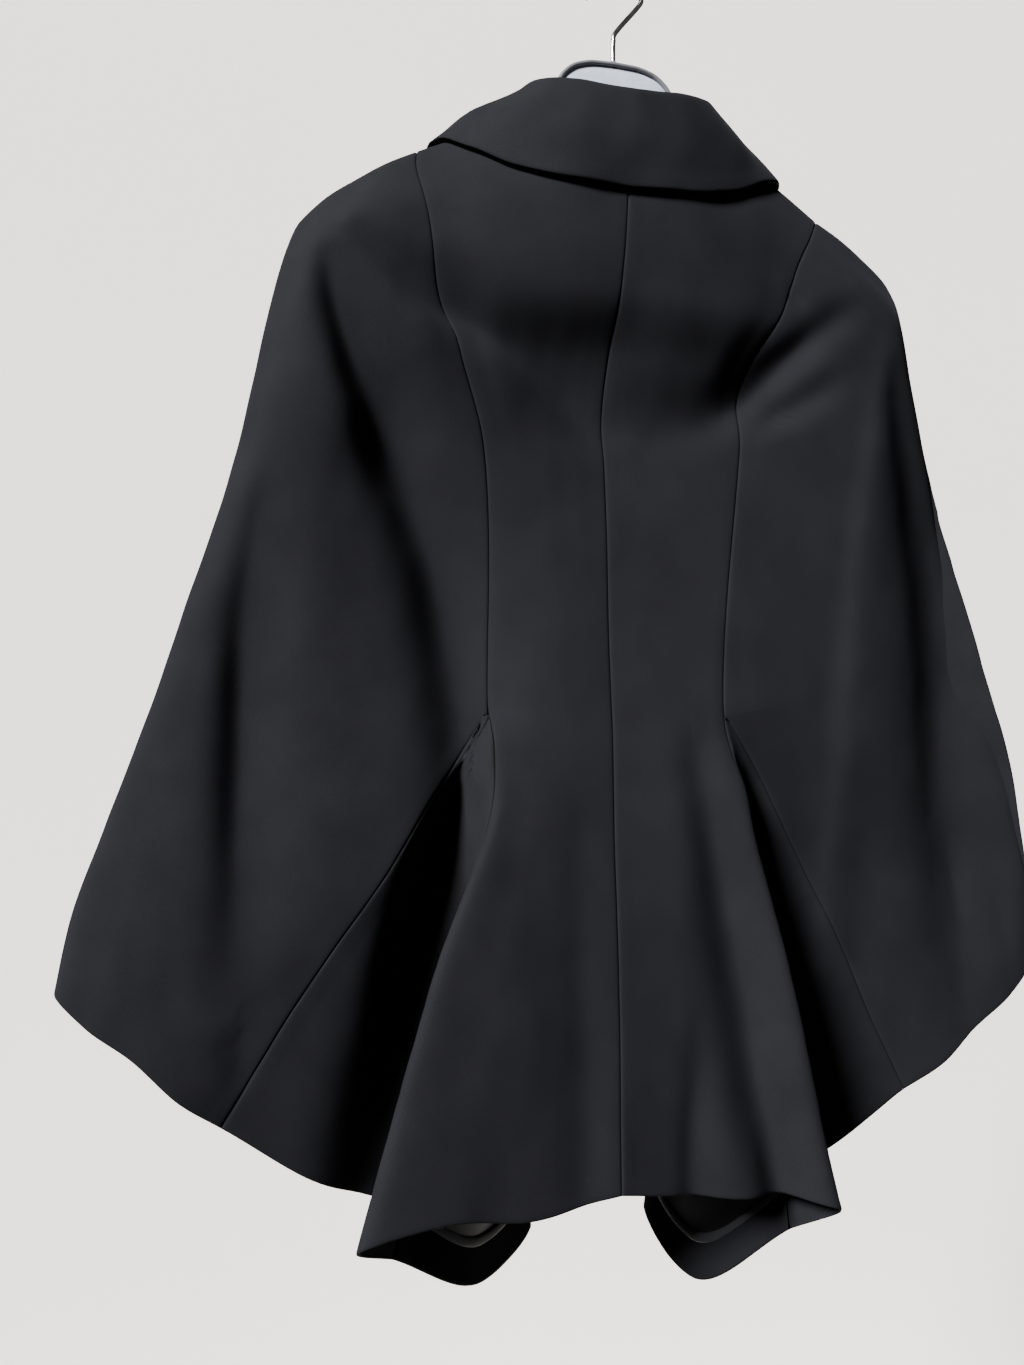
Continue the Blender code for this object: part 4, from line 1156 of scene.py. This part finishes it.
def wool_material():
    """Black wool twill."""
    if "black wool twill cloth" in bpy.data.materials:
        return bpy.data.materials["black wool twill cloth"]
    cloth = bpy.context.scene.coat_cloth
    made = Shader("black wool twill cloth", Sheen_Weight=WOOL_SHEEN, Sheen_Roughness=0.45,
                  Specular_IOR_Level=0.03)
    made.bsdf.inputs["Sheen Tint"].default_value = (*cloth.sheen_color, 1.0)
    uv = made.node("UVMap", uv_map="cloth")
    turn = made.node("Mapping", vector_type="TEXTURE")
    turn.inputs["Rotation"].default_value = (0.0, 0.0, cloth.twill_angle)
    weave = made.group(twill_group(), Rib_Scale=RIB_PER_SCALE / cloth.twill_pitch,
                       Dark=(*cloth.color_dark, 1.0), Light=(*cloth.color_light, 1.0))
    seam = made.node("Attribute", attribute_name="seam")
    press = made.node("MapRange", From_Min=6.0, From_Max=12.0, To_Min=1.0, To_Max=0.0,
                      interpolation_type="SMOOTHSTEP")
    pucker = made.node("TexNoise", Scale=70.0, Detail=2.0, Roughness=0.5)
    ripple = made.node("Math", operation="MULTIPLY")
    low = made.node("Bump", Strength=0.4, Distance=0.0005)
    fine = made.node("Bump", Strength=0.30, Distance=0.00006)
    made.wire((uv, "UV", turn, "Vector"), (turn, "Vector", weave, "Cloth"),
              (weave, "Color", made.bsdf, "Base Color"),
              (weave, "Roughness", made.bsdf, "Roughness"), (seam, "Fac", press, "Value"),
              (uv, "UV", pucker, "Vector"), (press, 0, ripple, 0), (pucker, "Fac", ripple, 1),
              (ripple, 0, low, "Height"), (weave, "Height", fine, "Height"),
              (low, "Normal", fine, "Normal"), (fine, "Normal", made.bsdf, "Normal"))
    return made.material


def fine_cloth(name, dark, light, rib, sheen, specular, rough, depth):
    """Thin black cloth with a fine rib, for the lining and the bound edge."""
    if name in bpy.data.materials:
        return bpy.data.materials[name]
    made = Shader(name, Sheen_Weight=sheen, Sheen_Roughness=0.3, Specular_IOR_Level=specular)
    uv = made.node("UVMap", uv_map="cloth")
    weave = made.group(twill_group(), Rib_Scale=RIB_PER_SCALE / rib, Rib_Share=0.3,
                       Dark=(*dark, 1.0), Light=(*light, 1.0))
    scale = made.node("Math", operation="MULTIPLY")
    scale.inputs[1].default_value = rough
    bump = made.node("Bump", Strength=0.4, Distance=depth)
    made.wire((uv, "UV", weave, "Cloth"), (weave, "Color", made.bsdf, "Base Color"),
              (weave, "Roughness", scale, 0), (scale, 0, made.bsdf, "Roughness"),
              (weave, "Height", bump, "Height"), (bump, "Normal", made.bsdf, "Normal"))
    return made.material


def lining_material():
    return fine_cloth("black satin lining", (0.006, 0.006, 0.008), (0.014, 0.014, 0.017),
                      0.0004, 0.1, 0.5, 0.5, 0.00005)


def binding_material():
    return fine_cloth("bound edge tape", (0.016, 0.016, 0.019), (0.040, 0.040, 0.046),
                      0.0007, 0.3, 0.4, 0.75, 0.0001)


def wear_group():
    """Fine scratches and clouding of a handled hard surface, on object places."""
    if "handled surface" in bpy.data.node_groups:
        return bpy.data.node_groups["handled surface"]
    tree, source, result = new_group(
        "handled surface",
        [("Place", "NodeSocketVector", None), ("Cloud Scale", "NodeSocketFloat", 90.0),
         ("Smooth", "NodeSocketFloat", 0.2), ("Rough", "NodeSocketFloat", 0.4),
         ("Dark", "NodeSocketColor", None), ("Light", "NodeSocketColor", None)],
        [("Color", "NodeSocketColor"), ("Roughness", "NodeSocketFloat"),
         ("Height", "NodeSocketFloat")])
    cloud = add_node(tree, "TexNoise", Detail=5.0, Roughness=0.62)
    scratch = add_node(tree, "TexNoise", Scale=900.0, Detail=3.0, Roughness=0.7)
    both = add_node(tree, "Math", operation="MULTIPLY_ADD")
    both.inputs[1].default_value = 0.3
    share = add_node(tree, "MapRange", From_Min=0.42, From_Max=0.88)
    color = add_node(tree, "Mix", data_type="RGBA")
    rough = add_node(tree, "MapRange")
    wire(tree, (source, "Place", cloud, "Vector"), (source, "Cloud Scale", cloud, "Scale"),
               (source, "Place", scratch, "Vector"), (scratch, "Fac", both, 0),
               (cloud, "Fac", both, 2), (both, 0, share, "Value"), (share, 0, color, "Factor"),
               (source, "Dark", color, 6), (source, "Light", color, 7),
               (share, 0, rough, "Value"), (source, "Smooth", rough, "To Min"),
               (source, "Rough", rough, "To Max"), (color, 2, result, "Color"),
               (rough, 0, result, "Roughness"), (scratch, "Fac", result, "Height"))
    return tree


def hard_material(name, dark, light, smooth, rough, cloud, depth, **constants):
    """Plastic, wire or paint with handled, slightly clouded surface."""
    if name in bpy.data.materials:
        return bpy.data.materials[name]
    made = Shader(name, **constants)
    place = made.node("TexCoord")
    wear = made.group(wear_group(), Cloud_Scale=cloud, Smooth=smooth, Rough=rough,
                      Dark=(*dark, 1.0), Light=(*light, 1.0))
    bump = made.node("Bump", Strength=0.3, Distance=depth)
    made.wire((place, "Object", wear, "Place"), (wear, "Color", made.bsdf, "Base Color"),
              (wear, "Roughness", made.bsdf, "Roughness"), (wear, "Height", bump, "Height"),
              (bump, "Normal", made.bsdf, "Normal"))
    return made.material


def plate_material():
    shade = bpy.context.scene.coat_hanger.plate_color
    light = tuple(min(c * 1.3, 1.0) for c in shade)
    return hard_material("clouded blue-grey plastic", shade, light, 0.16, 0.34, 70.0, 0.00005,
                         Coat_Weight=0.4, Coat_Roughness=0.1)


def rim_material():
    shade = bpy.context.scene.coat_hanger.rim_color
    light = tuple(c * 1.5 for c in shade)
    return hard_material("dark grey plastic rim", shade, light, 0.2, 0.38, 120.0, 0.00004,
                         Coat_Weight=0.3, Coat_Roughness=0.15)


def wire_material():
    shade = bpy.context.scene.coat_hanger.wire_color
    light = tuple(min(c * 1.25, 1.0) for c in shade)
    return hard_material("bright steel wire", shade, light, 0.12, 0.26, 260.0, 0.00002,
                         Metallic=1.0)


def stage_material(name, shade):
    light = tuple(min(c * 1.03, 1.0) for c in shade)
    glow = bpy.context.scene.coat_stage.wall_glow
    return hard_material(name, shade, light, 0.75, 0.9, 2.2, 0.0002, Specular_IOR_Level=0.2,
                         Emission_Color=(*shade, 1.0), Emission_Strength=glow)


def length(name, text, value, low, high):
    return bpy.props.FloatProperty(name=name, description=text, default=value, min=low, max=high,
                                   precision=4, unit="LENGTH")


def colour(name, text, value):
    return bpy.props.FloatVectorProperty(name=name, description=text, default=value, min=0.0,
                                         max=1.0, subtype="COLOR")


class CoatCloth(bpy.types.PropertyGroup):
    """Sizes and colours of the coat's cloth."""

    thickness: length(
        "Cloth thickness", "Wall of the wool cloth with its interlining", 0.0017, 0.0008, 0.003)
    collar_thickness: length(
        "Collar thickness", "Both layers of the collar pressed together", 0.0024, 0.001, 0.004)
    crease_strength: bpy.props.FloatProperty(
        name="Crease strength", description="Depth of the hanging creases, 1 as worn",
        default=1.0, min=0.0, max=1.5, subtype="FACTOR")
    facing_depth: length(
        "Facing depth", "Height of the hem facing with its bound edge", 0.033, 0.02, 0.06)
    twill_pitch: length(
        "Twill pitch", "Distance from one twill rib to the next", 0.0012, 0.0006, 0.003)
    twill_angle: bpy.props.FloatProperty(
        name="Twill angle", description="Turn of the twill ribs from upright",
        default=math.radians(118.0), subtype="ANGLE")
    color_dark: colour(
        "Wool, dark", "Colour of the wool between the ribs", (0.0060, 0.0060, 0.0071))
    color_light: colour(
        "Wool, light", "Colour of the wool on the ribs and in stray fibres", (0.0175, 0.0174, 0.0198))
    sheen_color: colour(
        "Sheen", "Tint of the soft light on the wool's fibres", (0.86, 0.86, 1.0))


class CoatHanger(bpy.types.PropertyGroup):
    """Sizes and colours of the hanger."""

    wire: length(
        "Hook wire", "Thickness of the hook's wire", 0.0034, 0.002, 0.0036)
    plate_color: colour(
        "Plate", "Colour of the hanger's middle plate and arms", (0.40, 0.43, 0.50))
    rim_color: colour(
        "Rim", "Colour of the raised rim and the hook's socket", (0.10, 0.10, 0.105))
    wire_color: colour(
        "Wire", "Colour of the hook's wire", (0.42, 0.42, 0.43))


class CoatStage(bpy.types.PropertyGroup):
    """Backdrop, lights and camera."""

    wall_color: colour(
        "Wall", "Colour of the wall behind the coat", (0.80, 0.757, 0.690))
    key_power: bpy.props.FloatProperty(
        name="Key light", description="Strength of the soft light from the upper left",
        default=15.0, min=0.0)
    fill_power: bpy.props.FloatProperty(
        name="Fill light", description="Strength of the soft light from the right",
        default=0.07, min=0.0)
    air: bpy.props.FloatProperty(
        name="Room light", description="Strength of the light from all round",
        default=0.05, min=0.0, subtype="FACTOR")
    wall_glow: bpy.props.FloatProperty(
        name="Wall glow", description="Daylight on the wall beyond what the lights give",
        default=0.5, min=0.0)
    wall_distance: bpy.props.FloatProperty(
        name="Wall distance", description="From the coat's middle to the wall",
        default=1.5, min=0.2, unit="LENGTH")
    lens: bpy.props.FloatProperty(
        name="Lens", description="Focal length on a frame 36 mm high",
        default=30.33, min=10.0, subtype="DISTANCE_CAMERA")


class COAT_OT_backs(bpy.types.Operator):
    """Centre back panels, joined at the centre back seam and flared into the peplum"""

    bl_idname = "coat.backs"
    bl_label = "Back panels"

    def execute(self, context):
        for word, _ in SIDES:
            make_panel("back", word, ("start", "end", "hem"))
        return {"FINISHED"}


class COAT_OT_wings(bpy.types.Operator):
    """Cape wings: back and front wing, continuous over the shoulder and the outer fold"""

    bl_idname = "coat.wings"
    bl_label = "Cape wings"

    def execute(self, context):
        for word, _ in SIDES:
            make_panel("wing_back", word, ("start", "hem"))
            make_panel("wing_front", word, ("end", "hem"))
        return {"FINISHED"}


class COAT_OT_gussets(bpy.types.Operator):
    """Gussets that fall in one deep flute, with the facing, bound edge and lining inside"""

    bl_idname = "coat.gussets"
    bl_label = "Gussets and their inside"

    def execute(self, context):
        for word, _ in SIDES:
            make_panel("gusset", word, ("start", "end", "hem"))
            make_inside(word)
        return {"FINISHED"}


class COAT_OT_fronts(bpy.types.Operator):
    """Plain fronts, lapped at the centre"""

    bl_idname = "coat.fronts"
    bl_label = "Fronts"

    def execute(self, context):
        for word, _ in SIDES:
            make_panel("front", word, ("start", "hem"))
        return {"FINISHED"}


class COAT_OT_collar(bpy.types.Operator):
    """Collar with its stand and turned-down fall"""

    bl_idname = "coat.collar"
    bl_label = "Collar"

    def execute(self, context):
        make_collar()
        return {"FINISHED"}


class COAT_OT_hanger(bpy.types.Operator):
    """Plastic hanger with its rim and socket"""

    bl_idname = "coat.hanger"
    bl_label = "Hanger"

    def execute(self, context):
        make_hanger()
        return {"FINISHED"}


class COAT_OT_hook(bpy.types.Operator):
    """Bent wire hook"""

    bl_idname = "coat.hook"
    bl_label = "Hook"

    def execute(self, context):
        make_hook()
        return {"FINISHED"}


class COAT_OT_stage(bpy.types.Operator):
    """Pale wall and floor, soft lights and the camera"""

    bl_idname = "coat.stage"
    bl_label = "Stage"

    def execute(self, context):
        make_backdrop()
        make_lights()
        make_camera()
        return {"FINISHED"}


class COAT_PT_panel(bpy.types.Panel):
    """Sizes, colours and steps of the cape coat"""

    bl_idname = "COAT_PT_panel"
    bl_label = "Cape coat"
    bl_space_type = "VIEW_3D"
    bl_region_type = "UI"
    bl_category = "Coat"

    def draw(self, context):
        for name, group in SETTINGS.items():
            box = self.layout.box()
            box.label(text=group.__doc__)
            for prop in group.__annotations__:
                box.prop(getattr(context.scene, name), prop)
        for step in STEPS:
            self.layout.operator(step.bl_idname)


SETTINGS = {"coat_cloth": CoatCloth, "coat_hanger": CoatHanger, "coat_stage": CoatStage}
STEPS = (COAT_OT_stage, COAT_OT_backs, COAT_OT_wings, COAT_OT_gussets, COAT_OT_fronts,
         COAT_OT_collar, COAT_OT_hanger, COAT_OT_hook)
CLASSES = (*SETTINGS.values(), *STEPS, COAT_PT_panel)


def register():
    for item in CLASSES:
        bpy.utils.register_class(item)
    for name, group in SETTINGS.items():
        setattr(bpy.types.Scene, name, bpy.props.PointerProperty(type=group))


def unregister():
    for name in SETTINGS:
        delattr(bpy.types.Scene, name)
    for item in reversed(CLASSES):
        bpy.utils.unregister_class(item)


def make_backdrop():
    """A wall behind the coat that runs down into a pale floor in one soft bend."""
    stage = bpy.context.scene.coat_stage
    bm = bmesh.new()
    made = bmesh.ops.create_grid(bm, x_segments=2, y_segments=60, size=1.0)
    for vert in made["verts"]:
        run = (vert.co.y + 1) / 2 * STAGE_LENGTH
        flat = STAGE_FLOOR - STAGE_BEND
        turn = min(max((run - flat) / STAGE_BEND, 0.0), 1.0) * math.pi / 2
        over = max(run - flat - STAGE_BEND, 0.0)
        along = min(run, flat) + STAGE_RADIUS * math.sin(turn)
        y = stage.wall_distance - (flat + STAGE_RADIUS) + along
        z = STAGE_DROP + STAGE_RADIUS * (1 - math.cos(turn)) + over
        vert.co = (STAGE_MIDDLE + vert.co.x * STAGE_HALF_WIDTH, y, z)
    bmesh.ops.recalc_face_normals(bm, faces=bm.faces)
    item = mesh_object("backdrop", bm)
    item.data.materials.append(stage_material("cream wall paint", stage.wall_color))


def make_lights():
    stage = bpy.context.scene.coat_stage
    for name, power, (aim, angle, shade) in (("key", stage.key_power, KEY_LIGHT),
                                             ("fill", stage.fill_power, FILL_LIGHT)):
        light = bpy.data.lights.new(name, "SUN")
        light.energy = power
        light.angle = math.radians(angle)
        light.color = shade
        item = bpy.data.objects.new(name, light)
        item.location = aim
        item.rotation_euler = Vector(aim).to_track_quat("Z", "Y").to_euler()
        bpy.context.scene.collection.objects.link(item)
    world = bpy.data.worlds.new("room light")
    world.use_nodes = True
    room = world.node_tree.nodes["Background"].inputs
    room["Color"].default_value = AIR_COLOR
    room["Strength"].default_value = stage.air
    bpy.context.scene.world = world


def make_camera():
    camera = bpy.data.cameras.new("photo view")
    camera.lens = bpy.context.scene.coat_stage.lens
    camera.sensor_fit = "VERTICAL"
    camera.sensor_height = 36.0
    camera.clip_start = 0.02
    item = bpy.data.objects.new("photo view", camera)
    item.location = CAMERA_PLACE
    item.rotation_euler = (math.pi / 2 + CAMERA_PITCH, 0.0, -CAMERA_YAW)
    bpy.context.scene.collection.objects.link(item)
    bpy.context.scene.camera = item


def main():
    register()
    for step in STEPS:
        family, name = step.bl_idname.split(".")
        getattr(getattr(bpy.ops, family), name)()


if __name__ == "__main__":
    main()
